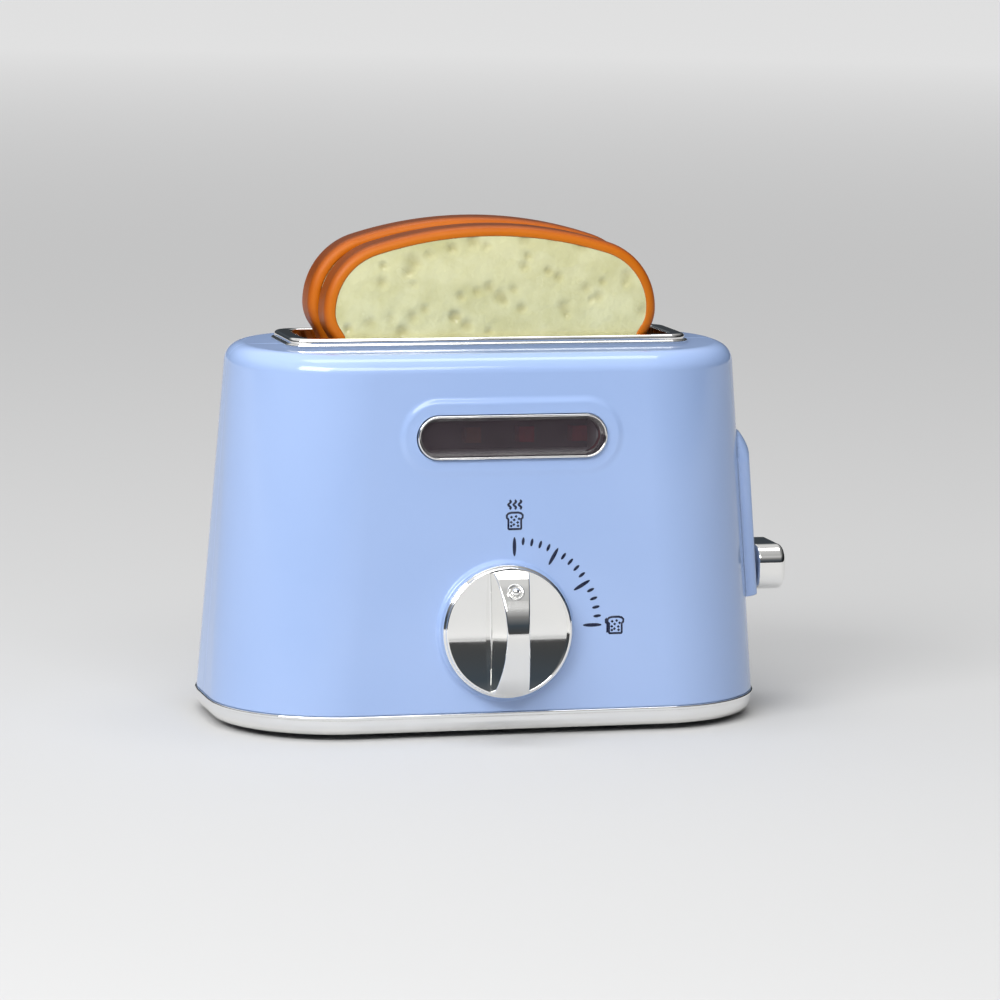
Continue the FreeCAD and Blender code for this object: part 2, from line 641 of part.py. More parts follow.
def make_knob():
    disc = rod(KNOB_RADIUS, 0, KNOB_RIM)
    disc = bevel_at_height(disc, KNOB_BEVEL, KNOB_RIM)
    dish = Part.makeCone(KNOB_FLOOR_RADIUS, KNOB_RADIUS - KNOB_BEVEL, KNOB_DISH,
                         Vector(0, 0, KNOB_RIM - KNOB_DISH), UP)
    grip_low = KNOB_RIM - KNOB_DISH - EMBED
    knob = disc.cut(dish).fuse(grip_solid(grip_low))
    recess_low = pointer_height() - POINTER_RECESS_DEEP
    recess = rod(POINTER_RECESS, recess_low, KNOB_RIM + GRIP_RISE, 0, POINTER_OFFSET)
    socket = d_section(0, SHAFT_GRIP)
    knob = knob.cut([recess, socket]).removeSplitter()
    pointer = rod(POINTER_RADIUS, recess_low, recess_low + POINTER_HEIGHT, 0, POINTER_OFFSET)

    knob_back = PLINTH_PROUD + KNOB_CLEARANCE
    shaft_end = -BODY_WALL - TIMER_STANDOFF - TIMER_HOLE_DEEP + KNOB_CLEARANCE
    shaft = rod(SHAFT_RADIUS, shaft_end - knob_back, 0).fuse(d_section(0, SHAFT_GRIP)).removeSplitter()
    for name, piece in (("knob", knob), ("knob_pointer", pointer), ("knob_shaft", shaft)):
        piece.translate(UP * knob_back)
        save(name, on_front(piece, KNOB_X, KNOB_Z))


def d_section(low, high):
    """The shaft's outer end: round with one flat."""
    flat = block((SHAFT_FLAT, 2 * SHAFT_RADIUS), (-SHAFT_RADIUS, SHAFT_RADIUS), (low, high))
    return rod(SHAFT_RADIUS, low, high).cut(flat)


def make_timer():
    front = -BODY_WALL - TIMER_STANDOFF
    half = TIMER_WIDTH / 2
    case = block((-half, half), (-TIMER_HEIGHT / 2, TIMER_HEIGHT / 2), (front - TIMER_DEPTH, front))
    ears = block((-half - TIMER_EAR, half + TIMER_EAR), (-TIMER_EAR_WIDTH / 2, TIMER_EAR_WIDTH / 2),
                 (front - TIMER_EAR_THICKNESS, front))
    bore = rod(SHAFT_RADIUS + SHAFT_RUN, front - TIMER_HOLE_DEEP, front)
    save("timer_case", on_front(case.fuse(ears).cut(bore).removeSplitter(), KNOB_X, KNOB_Z))


# ---- carriage, lever and rod ---------------------------------------------------

def slider_x():
    """X of the middle of the slider, just past the well's end wall."""
    return SLOT_LENGTH / 2 + WELL_EASE + WELL_WALL + SLIDER_GAP + SLIDER_LENGTH / 2


def guide_rod(low, high, clearance=0.0):
    """The rod that guides the slider, or a bore for it."""
    return rod(ROD_RADIUS + clearance, low, high, slider_x(), 0)


def rod_seat(low, high):
    """The square seat that holds an end of the rod."""
    return square_block(2 * (ROD_RADIUS + ROD_SEAT_WALL), low, high, slider_x(), 0)


def handle_face():
    """X of the handle's inner face, clear of the tower at the lowest place."""
    return side_x(LEVER_STEM_BOTTOM - LEVER_SLOT_END) + TOWER_PROUD + HANDLE_GAP


def make_carriage():
    x = slider_x()
    tray_low = TRAY_TOP - TRAY_THICKNESS
    tray = centred(0, 0, TRAY_LENGTH, TRAY_DEPTH, tray_low, TRAY_TOP)
    rib_y = (TRAY_DEPTH - TRAY_RIB_DEPTH) / 2
    rib = centred(0, rib_y, TRAY_LENGTH, TRAY_RIB_DEPTH, tray_low, TRAY_TOP + TRAY_RIB)
    cuts = [guide_rod(SLIDER_BOTTOM, SLIDER_TOP, ROD_RUN)]
    for place in range(TRAY_WINDOWS):
        middle = (place - (TRAY_WINDOWS - 1) / 2) * TRAY_WINDOW_PITCH
        cuts.append(centred(middle, 0, TRAY_WINDOW_LENGTH, TRAY_WINDOW_DEPTH, tray_low, TRAY_TOP))
    arm = block((SLOT_LENGTH / 2, x), (-ARM_WIDTH / 2, ARM_WIDTH / 2), (TRAY_TOP - ARM_HEIGHT, TRAY_TOP))
    neck = block((TRAY_LENGTH / 2 - OVER, x), (-ARM_WIDTH / 2, ARM_WIDTH / 2), (tray_low, TRAY_TOP))
    slider = centred(x, 0, SLIDER_LENGTH, SLIDER_DEPTH, SLIDER_BOTTOM, SLIDER_TOP)
    stem = block((x, handle_face() + HANDLE_SOCKET), (-LEVER_STEM_THICKNESS / 2, LEVER_STEM_THICKNESS / 2),
                 (LEVER_STEM_BOTTOM, LEVER_STEM_BOTTOM + LEVER_STEM_HEIGHT))
    save("carriage", tray.fuse([rib, neck, arm, slider, stem]).cut(cuts).removeSplitter())

    handle = prism(rounded_wire(HANDLE_WIDTH, HANDLE_HEIGHT, HANDLE_CORNER), UP * HANDLE_THICKNESS)
    handle = bevel_at_height(handle, HANDLE_BEVEL, HANDLE_THICKNESS)
    middle = LEVER_STEM_BOTTOM + LEVER_STEM_HEIGHT / 2
    handle.Placement = Placement(Vector(handle_face(), 0, middle), Rotation(Vector(1, 1, 1), 120))
    save("lever_handle", handle.cut(stem))
    rod_high = BODY_TOP - COLLAR_DROP - WELL_FLANGE_THICKNESS
    save("guide_rod", guide_rod(PLATE_BOTTOM + PLATE_THICKNESS, rod_high))


# ---- bottom: skirt, plate, feet, battery bay, loudspeaker, switch ----------------

def make_skirt():
    outlines = [body_wire(SKIRT_TUCK, SKIRT_BOTTOM), body_wire(-SKIRT_PROUD, BODY_BOTTOM)]
    outer = Part.makeLoft(outlines, True, True)
    inset = SKIRT_TUCK + SKIRT_WALL
    room = Part.makeLoft([body_wire(inset, SKIRT_BOTTOM), body_wire(inset, BODY_BOTTOM)], True, True)
    save("base_skirt", outer.cut(room))


def bay_size():
    """Inner length and depth of the battery bay."""
    length = CELL_LENGTH + 2 * CONTACT_THICKNESS + 2 * CONTACT_GAP
    depth = 4 * CELL_RADIUS + 2 * CELL_GAP
    return length, depth


def door_blocks(high, shrink):
    """The battery door and its screw tongue, or their seat in the plate."""
    length, depth = bay_size()
    length += 2 * DOOR_MARGIN
    depth += 2 * DOOR_MARGIN
    panel = centred(BAY_X, BAY_Y, length - 2 * shrink, depth - 2 * shrink, PLATE_BOTTOM, high)
    edge = BAY_X + length / 2
    tongue = block((edge - DOOR_MARGIN, edge + DOOR_TAB - shrink),
                   (BAY_Y - DOOR_TAB / 2 + shrink, BAY_Y + DOOR_TAB / 2 - shrink), (PLATE_BOTTOM, high))
    return panel.fuse(tongue).removeSplitter()


def door_screw_x():
    """X of the screw in the battery door's tongue."""
    return BAY_X + bay_size()[0] / 2 + DOOR_MARGIN + DOOR_TAB / 2


def make_bottom():
    """The plate with the bay for the cells, the seats for what stands on it, and its openings."""
    low = PLATE_BOTTOM
    top = low + PLATE_THICKNESS
    inset = SKIRT_TUCK + SKIRT_WALL + PLATE_CLEARANCE
    plate = Part.makeLoft([body_wire(inset, low), body_wire(inset, top)], True, True)
    length, depth = bay_size()
    bay_high = top + 2 * CELL_RADIUS + CELL_GAP
    door_high = low + DOOR_THICKNESS
    raised = [
        centred(BAY_X, BAY_Y, length + 2 * BAY_WALL, depth + 2 * BAY_WALL, low, bay_high + BAY_WALL),
        square_block(DOOR_POST, low, door_high + PILOT_DEPTH + BAY_WALL, door_screw_x(), BAY_Y),
        centred(SWITCH_X, SWITCH_Y, SWITCH_LENGTH + 2 * BAY_WALL, SWITCH_DEPTH + 2 * BAY_WALL, low,
                top + SWITCH_WALL_HEIGHT),
        rod_seat(low, top + ROD_SEAT_HEIGHT),
    ]
    cuts = [
        centred(BAY_X, BAY_Y, length, depth, low, bay_high),
        door_blocks(door_high, 0),
        rod(PILOT_RADIUS, low, door_high + PILOT_DEPTH, door_screw_x(), BAY_Y),
        centred(SWITCH_X, SWITCH_Y, SWITCH_LENGTH, SWITCH_DEPTH, top, top + SWITCH_HEIGHT),
        centred(SWITCH_X, SWITCH_Y, SWITCH_LENGTH, SWITCH_DEPTH, low, low + SWITCH_RECESS),
        nub_way(low, top),
        guide_rod(top, top + ROD_SEAT_HEIGHT),
    ]
    for place in range(GRILLE_SLOTS):
        shift = (place - (GRILLE_SLOTS - 1) / 2) * GRILLE_PITCH
        reach = sqrt((SPEAKER_RADIUS - GRILLE_MARGIN) ** 2 - shift ** 2)
        cuts.append(centred(SPEAKER_X, SPEAKER_Y + shift, 2 * reach, GRILLE_SLOT_WIDTH, low, top))
    for x, y in both_ways(POST_X, POST_Y):
        cuts.append(rod(SCREW_HOLE_RADIUS, low, top, x, y))
    save("bottom_plate", plate.fuse(raised).cut(cuts).removeSplitter())

    save("rubber_feet", *[rod(FOOT_RADIUS, 0, low, x, y) for x, y in both_ways(FOOT_X, FOOT_Y)])
    tab_hole = rod(SCREW_HOLE_RADIUS, low, door_high, door_screw_x(), BAY_Y)
    save("battery_door", door_blocks(door_high, DOOR_CLEARANCE).cut(tab_hole))


def make_contacts():
    """A contact plate at each end of each of the two cells."""
    floor = PLATE_BOTTOM + PLATE_THICKNESS
    half = bay_size()[0] / 2
    contacts = []
    for side in (-1, 1):
        y = BAY_Y + side * (CELL_RADIUS + CELL_GAP / 2)
        for x in (BAY_X - half, BAY_X + half - CONTACT_THICKNESS):
            contacts.append(block((x, x + CONTACT_THICKNESS), (y - CONTACT_WIDTH / 2, y + CONTACT_WIDTH / 2),
                                  (floor, floor + CONTACT_HEIGHT)))
    save("battery_contacts", *contacts)


def make_speaker():
    """Frame and magnet, bonded to the plate over the grille."""
    low = PLATE_BOTTOM + PLATE_THICKNESS
    high = low + SPEAKER_FRAME_HEIGHT
    frame = rod(SPEAKER_RADIUS, low, high, SPEAKER_X, SPEAKER_Y)
    magnet = square_block(SPEAKER_MAGNET_SIZE, high, high + SPEAKER_MAGNET_HEIGHT, SPEAKER_X, SPEAKER_Y)
    save("loudspeaker", frame.fuse(magnet).removeSplitter())


def nub_way(low, high):
    """The room that the switch's slider moves in."""
    x_low = SWITCH_X - SWITCH_NUB_LENGTH / 2 - SWITCH_ROOM
    x_high = SWITCH_X + SWITCH_NUB_LENGTH / 2 + SWITCH_TRAVEL + SWITCH_ROOM
    half = SWITCH_NUB_DEPTH / 2 + SWITCH_ROOM
    return block((x_low, x_high), (SWITCH_Y - half, SWITCH_Y + half), (low, high))


def make_switch():
    floor = PLATE_BOTTOM + PLATE_THICKNESS
    nub_low = PLATE_BOTTOM + SWITCH_ROOM
    nub_high = nub_low + SWITCH_NUB_HEIGHT
    case = centred(SWITCH_X, SWITCH_Y, SWITCH_LENGTH, SWITCH_DEPTH, floor, floor + SWITCH_HEIGHT)
    save("switch_case", case.cut(nub_way(floor, nub_high + SWITCH_ROOM)))
    save("switch_slider", centred(SWITCH_X, SWITCH_Y, SWITCH_NUB_LENGTH, SWITCH_NUB_DEPTH, nub_low, nub_high))


def main_board_back():
    """Y of the main board's rear edge, just short of the leaning rear wall."""
    return -front_y(MAIN_BOARD_Z + BOARD_THICKNESS) - BODY_WALL - MAIN_BOARD_GAP


def make_main_board():
    y = main_board_back() - MAIN_BOARD_DEPTH / 2
    save("main_board", centred(MAIN_BOARD_X, y, MAIN_BOARD_LENGTH, MAIN_BOARD_DEPTH,
                               MAIN_BOARD_Z, MAIN_BOARD_Z + BOARD_THICKNESS))


def write_nodes():
    """Write every node, its origin on the table under the middle of the whole toy's box."""
    whole = Part.makeCompound(list(NODES.values())).optimalBoundingBox(False, False)
    to_middle = Vector(-whole.Center.x, -whole.Center.y, 0)
    os.makedirs("parts", exist_ok=True)
    for name, shape in NODES.items():
        shape.translate(to_middle)
        shape.exportStep(os.path.join("parts", name + ".step"))
    print("origin is at", to_middle * -1, "from the middle of the housing")


NODES = {}
make_housing()
make_slot_frame()
make_well()
make_window()
make_knob()
make_timer()
make_carriage()
make_skirt()
make_bottom()
make_contacts()
make_speaker()
make_switch()
make_main_board()
make_bread()
write_nodes()
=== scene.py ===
import math

import bpy
import numpy as np
from mathutils import Matrix, Vector
from mathutils.geometry import delaunay_2d_cdt


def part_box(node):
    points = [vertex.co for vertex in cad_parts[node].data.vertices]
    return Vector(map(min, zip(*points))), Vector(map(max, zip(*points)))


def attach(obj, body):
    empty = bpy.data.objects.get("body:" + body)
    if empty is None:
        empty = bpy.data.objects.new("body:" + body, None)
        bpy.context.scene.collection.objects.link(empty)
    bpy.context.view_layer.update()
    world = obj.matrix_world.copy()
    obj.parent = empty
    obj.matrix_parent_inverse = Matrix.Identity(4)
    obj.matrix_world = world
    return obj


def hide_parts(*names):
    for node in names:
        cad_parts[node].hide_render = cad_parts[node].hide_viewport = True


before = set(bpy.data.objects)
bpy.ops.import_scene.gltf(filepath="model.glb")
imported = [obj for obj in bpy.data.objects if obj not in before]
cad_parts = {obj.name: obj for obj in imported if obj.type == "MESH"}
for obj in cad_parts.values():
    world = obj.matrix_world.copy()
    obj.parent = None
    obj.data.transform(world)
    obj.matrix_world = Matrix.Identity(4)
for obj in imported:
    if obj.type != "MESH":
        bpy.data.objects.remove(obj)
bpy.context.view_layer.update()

# ---- studio -------------------------------------------------------------------
# A pale floor under one soft dome of light, dark round the horizon as a room is and darker on the
# right, with a softbox at the left, a long one high in front and another overhead.


def paint(red, green, blue):
    """A colour given as it looks on screen, 0 to 255, as the light it stands for."""
    levels = [c / 255 for c in (red, green, blue)]
    return [c / 12.92 if c <= 0.04045 else ((c + 0.055) / 1.055) ** 2.4 for c in levels] + [1.0]


def put(tree, kind, sockets=None, **settings):
    """Add a node to a tree, set it up, and join or set its sockets."""
    made = tree.nodes.new(kind)
    for name, value in settings.items():
        setattr(made, name, value)
    for name, value in (sockets or {}).items():
        if isinstance(value, bpy.types.NodeSocket):
            tree.links.new(value, made.inputs[name])
        else:
            made.inputs[name].default_value = value
    return made


def shades(tree, factor, *stops):
    """A ramp of colours along a factor."""
    ramp = put(tree, "ShaderNodeValToRGB", {"Fac": factor})
    while len(ramp.color_ramp.elements) < len(stops):
        ramp.color_ramp.elements.new(0.5)
    for element, (place, colour) in zip(ramp.color_ramp.elements, stops):
        element.position = place
        element.color = colour
    return ramp.outputs["Color"]


def grey(level):
    return (level, level, level, 1.0)


def maths(tree, operation, *values):
    made = put(tree, "ShaderNodeMath", dict(enumerate(values)), operation=operation)
    return made.outputs[0]


def rescale(tree, factor, low, high, new_low, new_high):
    """A factor's range, low to high, stretched to a new one."""
    made = put(tree, "ShaderNodeMapRange", {"Value": factor, "From Min": low, "From Max": high,
                                            "To Min": new_low, "To Max": new_high})
    return made.outputs["Result"]


view = bpy.data.cameras.new("camera")
view.lens = 169.35
view.clip_start = 0.05
view.clip_end = 100.0
camera = bpy.data.objects.new("camera", view)
bpy.context.scene.collection.objects.link(camera)
camera.matrix_world = Matrix((
    (0.966588, 0.021571, -0.255428, -0.36493),
    (-0.255842, 0.143083, -0.956071, -1.36563),
    (0.015924, 0.989476, 0.143821, 0.27094),
    (0, 0, 0, 1),
))
bpy.context.scene.camera = camera
bpy.context.scene.view_settings.view_transform = "Standard"

world = bpy.data.worlds.new("studio")
bpy.context.scene.world = world
world.use_nodes = True
sky = world.node_tree
direction = put(sky, "ShaderNodeTexCoord").outputs["Generated"]
parts = put(sky, "ShaderNodeSeparateXYZ", {"Vector": direction})
climb = rescale(sky, parts.outputs["Z"], -1.0, 1.0, 0.0, 1.0)
dome = shades(sky, climb, (0.0, grey(0.3)), (0.5, grey(0.10)), (0.60, (0.07, 0.09, 0.11, 1)),
              (0.70, grey(0.28)), (0.78, grey(0.95)), (1.0, grey(1.0)))
aside = rescale(sky, parts.outputs["X"], 0.1, 0.9, 1.0, 0.10)
drapes = put(sky, "ShaderNodeTexNoise", {"Vector": direction, "Scale": 2.2, "Detail": 1.0})
drapes = rescale(sky, drapes.outputs["Fac"], 0.4, 0.6, 0.75, 1.15)
DOME_STRENGTH = 0.8
level = maths(sky, "MULTIPLY", maths(sky, "MULTIPLY", aside, drapes), DOME_STRENGTH)
sky.links.new(dome, sky.nodes["Background"].inputs["Color"])
sky.links.new(level, sky.nodes["Background"].inputs["Strength"])

FLOOR_HALF = 15
floor_mesh = bpy.data.meshes.new("floor")
floor_corners = [(x * FLOOR_HALF, y * FLOOR_HALF, 0) for x, y in ((-1, -1), (1, -1), (1, 1), (-1, 1))]
floor_mesh.from_pydata(floor_corners, [], [(0, 1, 2, 3)])
floor = bpy.data.objects.new("floor", floor_mesh)
bpy.context.scene.collection.objects.link(floor)
floor_paint = bpy.data.materials.new("floor_paint")
floor_paint.use_nodes = True
tree = floor_paint.node_tree
shader = tree.nodes["Principled BSDF"]
shader.inputs["Roughness"].default_value = 0.9
# The floor is a pale backdrop to what looks at it, and glows a little where it runs far from the lamps.
rays = put(tree, "ShaderNodeLightPath").outputs
seen = maths(tree, "MAXIMUM", rays["Is Camera Ray"], rays["Is Glossy Ray"])
seen = maths(tree, "MAXIMUM", seen, rays["Is Transmission Ray"])
tree.links.new(shades(tree, seen, (0.0, grey(0.52)), (1.0, grey(0.56))), shader.inputs["Base Color"])
spot = put(tree, "ShaderNodeTexCoord").outputs["Object"]
far = put(tree, "ShaderNodeVectorMath", {0: spot}, operation="LENGTH").outputs["Value"]
far = rescale(tree, far, 0.3, 4.0, 0.0, 0.44)
shader.inputs["Emission Color"].default_value = grey(1.0)
tree.links.new(maths(tree, "MULTIPLY", far, seen), shader.inputs["Emission Strength"])
floor_mesh.materials.append(floor_paint)

LAMPS_AIM = Vector((0, 0, 0.06))
for name, place, size, power in (
    ("key", (-1.15, -1.0, 1.15), (0.9, 0.7), 20.0),
    ("strip", (-0.2, -1.35, 1.2), (1.3, 0.5), 10.0),
    ("top", (0.0, 0.05, 1.5), (1.3, 0.5), 8.0),
):
    lamp = bpy.data.lights.new(name, "AREA")
    lamp.shape = "RECTANGLE"
    lamp.size, lamp.size_y = size
    lamp.energy = power
    holder = bpy.data.objects.new(name, lamp)
    bpy.context.scene.collection.objects.link(holder)
    holder.location = place
    holder.rotation_euler = (LAMPS_AIM - Vector(place)).to_track_quat("-Z", "Y").to_euler()

# ---- housing ------------------------------------------------------------------
# Two glossy moulded halves of blue plastic that meet in a fine line over the toy's middle: walls that
# lean in, a round top edge, a raised surround for the window, a plinth for the knob and the tower
# that the lever runs in. Screws from below hold them on the bottom plate.

BODY_WIDTH, BODY_DEPTH, BODY_CORNER = 169.0, 90.0, 37.0
BODY_LOW, BODY_HIGH = 7.5, 113.5
BODY_LEAN = 6.8 / (BODY_HIGH - BODY_LOW)
BODY_WALL = 2.2
TOP_ROUND = 6.0
LOW_ROUND = 0.5
SEAM_HALF, SEAM_DEEP = 0.05, 0.25
SIDE_HALF = 20.0
TOWER_LOW, TOWER_HIGH, TOWER_HALF, TOWER_PROUD = 35.5, 86.5, 18.0, 3.5
TOWER_CORNER, TOWER_EDGE, TOWER_FOOT = 9.0, 2.2, 0.8
LEVER_SLOT = (2.6, 37.5, 74.5)
KNOB_AT = (-2.3, 31.8)
PLINTH_RADIUS = 20.8
WINDOW_AT = (0.0, 89.3)
WINDOW_SIZE = (58.4, 13.4, 6.7)
skirt_low, skirt_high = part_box("base_skirt")
MIDDLE = (skirt_low + skirt_high) / 2
MIDDLE.z = 0.0
# Corners within one cell of this size are welded; the shift keeps round numbers off the cells' borders.
WELD, WELD_SHIFT = 0.001, 0.00037


def to_row(place):
    """A place in millimetres about the middle of the housing, in the model's own metres."""
    return (place[0] / 1000 + MIDDLE.x, place[1] / 1000 + MIDDLE.y, place[2] / 1000)


class Skin:
    """Patches of one surface, welded where they meet, each keeping its own smooth normals."""

    def __init__(self):
        self.places, self.backs, self.marks, self.known = [], [], [], {}
        self.faces, self.normals = [], []

    def vertex(self, place, back, mark=0.0):
        """The number of a corner; one that lies where another does is that other one."""
        key = tuple(math.floor((c + WELD_SHIFT) / WELD) for c in place)
        if key not in self.known:
            self.known[key] = len(self.places)
            self.places.append(tuple(place))
            self.backs.append(tuple(back))
            self.marks.append(mark)
        return self.known[key]

    def face(self, corners, normals):
        """One face; corners that are welded together count once."""
        ring = [(v, n) for place, (v, n) in enumerate(zip(corners, normals)) if v != corners[place - 1]]
        if len({v for v, _ in ring}) > 2:
            self.faces.append([v for v, _ in ring])
            self.normals.append([tuple(n) for _, n in ring])

    def patch(self, places, normals, backs=None, marks=None, closed=False):
        """A net of rows and columns; the side that its normals point to is the outer one."""
        places, normals = np.array(places, float), np.array(normals, float)
        normals /= np.maximum(np.linalg.norm(normals, axis=2, keepdims=True), 1e-9)
        backs = places - BODY_WALL * normals if backs is None else np.array(backs, float)
        marks = np.zeros(places.shape[:2]) if marks is None else np.array(marks, float)
        rows, columns = places.shape[:2]
        ids = [[self.vertex(places[r, c], backs[r, c], marks[r, c]) for c in range(columns)]
               for r in range(rows)]
        along = places[1:, :-1] - places[:-1, :-1]
        across = places[:-1, 1:] - places[:-1, :-1]
        inside_out = (np.cross(along, across) * normals[:-1, :-1]).sum() < 0
        for r in range(rows - 1):
            for c in range(columns if closed else columns - 1):
                d = (c + 1) % columns
                ring = [(r, c), (r + 1, c), (r + 1, d), (r, d)]
                if inside_out:
                    ring.reverse()
                self.face([ids[i][j] for i, j in ring], [normals[i, j] for i, j in ring])

    def thicken(self):
        """Add the inner side of the wall and close the edges between the two."""
        outer = list(zip(self.faces, self.normals))
        count = len(self.places)
        used = {(face[i - 1], face[i]) for face in self.faces for i in range(len(face))}
        self.places += self.backs
        self.marks += self.marks
        for face, normals in outer:
            self.faces.append([v + count for v in reversed(face)])
            self.normals.append([tuple(-c for c in n) for n in reversed(normals)])
        for a, b in used:
            if (b, a) not in used:
                ring = (b, a, a + count, b + count)
                corners = [Vector(self.places[v]) for v in ring]
                flat = (corners[2] - corners[0]).cross(corners[3] - corners[1]).normalized()
                self.faces.append(list(ring))
                self.normals.append([tuple(flat)] * 4)

    def piece(self, name, finish, body, slot, *nodes):
        """Make the piece, let it ride on its body and stand for its CAD nodes."""
        mesh = bpy.data.meshes.new(name)
        mesh.from_pydata([to_row(p) for p in self.places], [], self.faces)
        mesh.polygons.foreach_set("use_smooth", [True] * len(self.faces))
        # The marks go into a colour attribute: on the crust, its toasted tone with painted shade; in the
        # crumb, painted shade in the dimples.
        if any(self.marks):
            mesh.attributes.new("tone_and_shade", "FLOAT", "POINT").data.foreach_set("value", self.marks)
        mesh.normals_split_custom_set([n for face in self.normals for n in face])
        mesh.materials.append(finish)
        made = bpy.data.objects.new(name, mesh)
        bpy.context.scene.collection.objects.link(made)
        return mount(made, body, slot, *nodes)


def mount(made, body, slot, *nodes):
    """Let a piece ride on its body and let it stand for its CAD nodes; its slot is not used."""
    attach(made, body)
    if nodes:
        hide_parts(*nodes)
    return made


def section(corners, closed=False, steps=5):
    """The smooth stretches of a profile with rounded corners, each point with the way it faces.
    A corner is how far out it lies, how high, and its radius. The outside is to the right."""
    count = len(corners)
    points = [np.array(c[:2], float) for c in corners]
    cuts = []
    for i, corner in enumerate(corners):
        radius = corner[2] if len(corner) > 2 else 0.0
        if radius == 0 or (not closed and i in (0, count - 1)):
            cuts.append((points[i], points[i], None))
            continue
        back = points[i - 1] - points[i]
        ahead = points[(i + 1) % count] - points[i]
        back, ahead = back / np.linalg.norm(back), ahead / np.linalg.norm(ahead)
        half = math.acos(max(-1, min(1, float(back @ ahead)))) / 2
        reach = radius / math.tan(half)
        centre = points[i] + (back + ahead) / np.linalg.norm(back + ahead) * radius / math.sin(half)
        left_turn = back[0] * ahead[1] - back[1] * ahead[0] < 0
        cuts.append((points[i] + back * reach, points[i] + ahead * reach,
                     (centre, radius, 1 if left_turn else -1)))
    stretches = []
    for i in range(count):
        start, end, round_off = cuts[i]
        if round_off:
            centre, radius, side = round_off
            first = math.atan2(*(start - centre)[::-1])
            turn = (math.atan2(*(end - centre)[::-1]) - first + math.pi) % (2 * math.pi) - math.pi
            bend = []
            for step in range(steps + 1):
                angle = first + turn * step / steps
                way = np.array((math.cos(angle), math.sin(angle)))
                place = (start, end)[step // steps] if step in (0, steps) else centre + radius * way
                bend.append((*place, *(side * way)))
            stretches.append(bend)
        if i < count - 1 or closed:
            ahead = cuts[(i + 1) % count][0]
            way = ahead - end
            size = np.linalg.norm(way)
            if size > 1e-6:
                facing = (way[1] / size, -way[0] / size)
                stretches.append([(*end, *facing), (*ahead, *facing)])
    return stretches


def round_rectangle(corner_steps=16, long_steps=1, short_steps=1):
    """Columns round a rectangle with round corners: where each curve's centre lies, from -1 to 1 each
    way, and the way it faces."""
    corners = ((1, -1), (1, 1), (-1, 1), (-1, -1))
    columns = []
    for quarter, (x, y) in enumerate(corners):
        for step in range(corner_steps + 1):
            turn = math.radians(90 * (quarter - 1) + 90 * step / corner_steps)
            columns.append((x, y, math.cos(turn), math.sin(turn)))
        next_x, next_y = corners[(quarter + 1) % 4]
        steps = (short_steps, long_steps)[quarter % 2]
        for step in range(1, steps):
            share = step / steps
            columns.append((x + (next_x - x) * share, y + (next_y - y) * share, *columns[-1][2:]))
    return columns


def circle(steps):
    turns = [2 * math.pi * i / steps for i in range(steps)]
    return [(0, 0, math.cos(turn), math.sin(turn)) for turn in turns]


FLAT_ON_TABLE = (np.zeros(3), np.eye(3))


def on_front(x, z):
    """A place on the leaning front: its origin, and its across, up and outward directions as rows."""
    turn = math.atan(BODY_LEAN)
    lean_y = BODY_LEAN * (z - BODY_LOW) - BODY_DEPTH / 2
    ways = np.array(((1, 0, 0), (0, math.sin(turn), math.cos(turn)), (0, -math.cos(turn), math.sin(turn))))
    return np.array((x, lean_y, z)), ways


def ring_of(columns, size):
    """Columns set out round a rectangle of a length, depth and corner radius: places and ways out."""
    length, depth, corner = size
    return [(cx * (length / 2 - corner) + nx * corner, cy * (depth / 2 - corner) + ny * corner, nx, ny)
            for cx, cy, nx, ny in columns]


def sweep(skin, ring, stretches, at=FLAT_ON_TABLE, fade=0.0, closed=True):
    """Run a profile round a ring. With a fade, what stands out at its top sinks by that share at its
    bottom."""
    origin, ways = at
    for stretch in stretches:
        places, normals = [], []
        for out, up, face_out, face_up in stretch:
            tall = [1 - fade * (1 - ny) / 2 if up > 0 else 1 for _, _, _, ny in ring]
            places.append([(x + nx * out, y + ny * out, up * t) for (x, y, nx, ny), t in zip(ring, tall)])
            normals.append([(nx * face_out * t, ny * face_out * t, face_up)
                            for (_, _, nx, ny), t in zip(ring, tall)])
        skin.patch(np.array(places) @ ways + origin, np.array(normals) @ ways, closed=closed)


def outline_at(column, z):
    """The centre that the housing's outline curves about at one column and height, and the way out."""
    kind, side, face, where = column
    inset = BODY_LEAN * (z - BODY_LOW)
    cx = BODY_WIDTH / 2 - BODY_CORNER - inset
    cy = BODY_DEPTH / 2 - BODY_CORNER - inset
    if kind == "end":
        return where * cx, face * cy, 0.0, face
    if kind == "side" and abs(where) <= cy:
        return side * cx, where, side, 0.0
    reach = min(abs(where), SIDE_HALF) if kind == "side" else SIDE_HALF
    turn = math.asin((reach - cy) / BODY_CORNER)
    if kind == "corner":
        turn += (math.pi / 2 - turn) * where
    return side * cx, face * cy, side * math.cos(turn), face * math.sin(turn)


def tower_rise(y, z):
    """How far the tower stands out of the wall: steep at its sides and foot, easing in at its top."""
    y = abs(y)
    up, across = z - (TOWER_HIGH - TOWER_CORNER), y - (TOWER_HALF - TOWER_CORNER)
    if up <= 0 or across <= 0:
        inside = TOWER_HALF - y if up <= 0 else TOWER_HIGH - z
        slope = 0.0 if up <= 0 else 1.0
    else:
        inside = TOWER_CORNER - math.hypot(up, across)
        slope = math.atan2(up, across) / (math.pi / 2)
    width = TOWER_EDGE + (TOWER_CORNER - TOWER_EDGE) * slope
    share = max(0.0, min(1.0, inside / width))
    dome_share = math.sqrt(1 - (1 - share) ** 2)
    wave_share = math.sin(share * math.pi / 2)
    foot = max(0.0, min(1.0, (z - TOWER_LOW) / TOWER_FOOT))
    edge = dome_share + (wave_share - dome_share) * 0.5 * slope
    return TOWER_PROUD * edge * math.sqrt(1 - (1 - foot) ** 2)


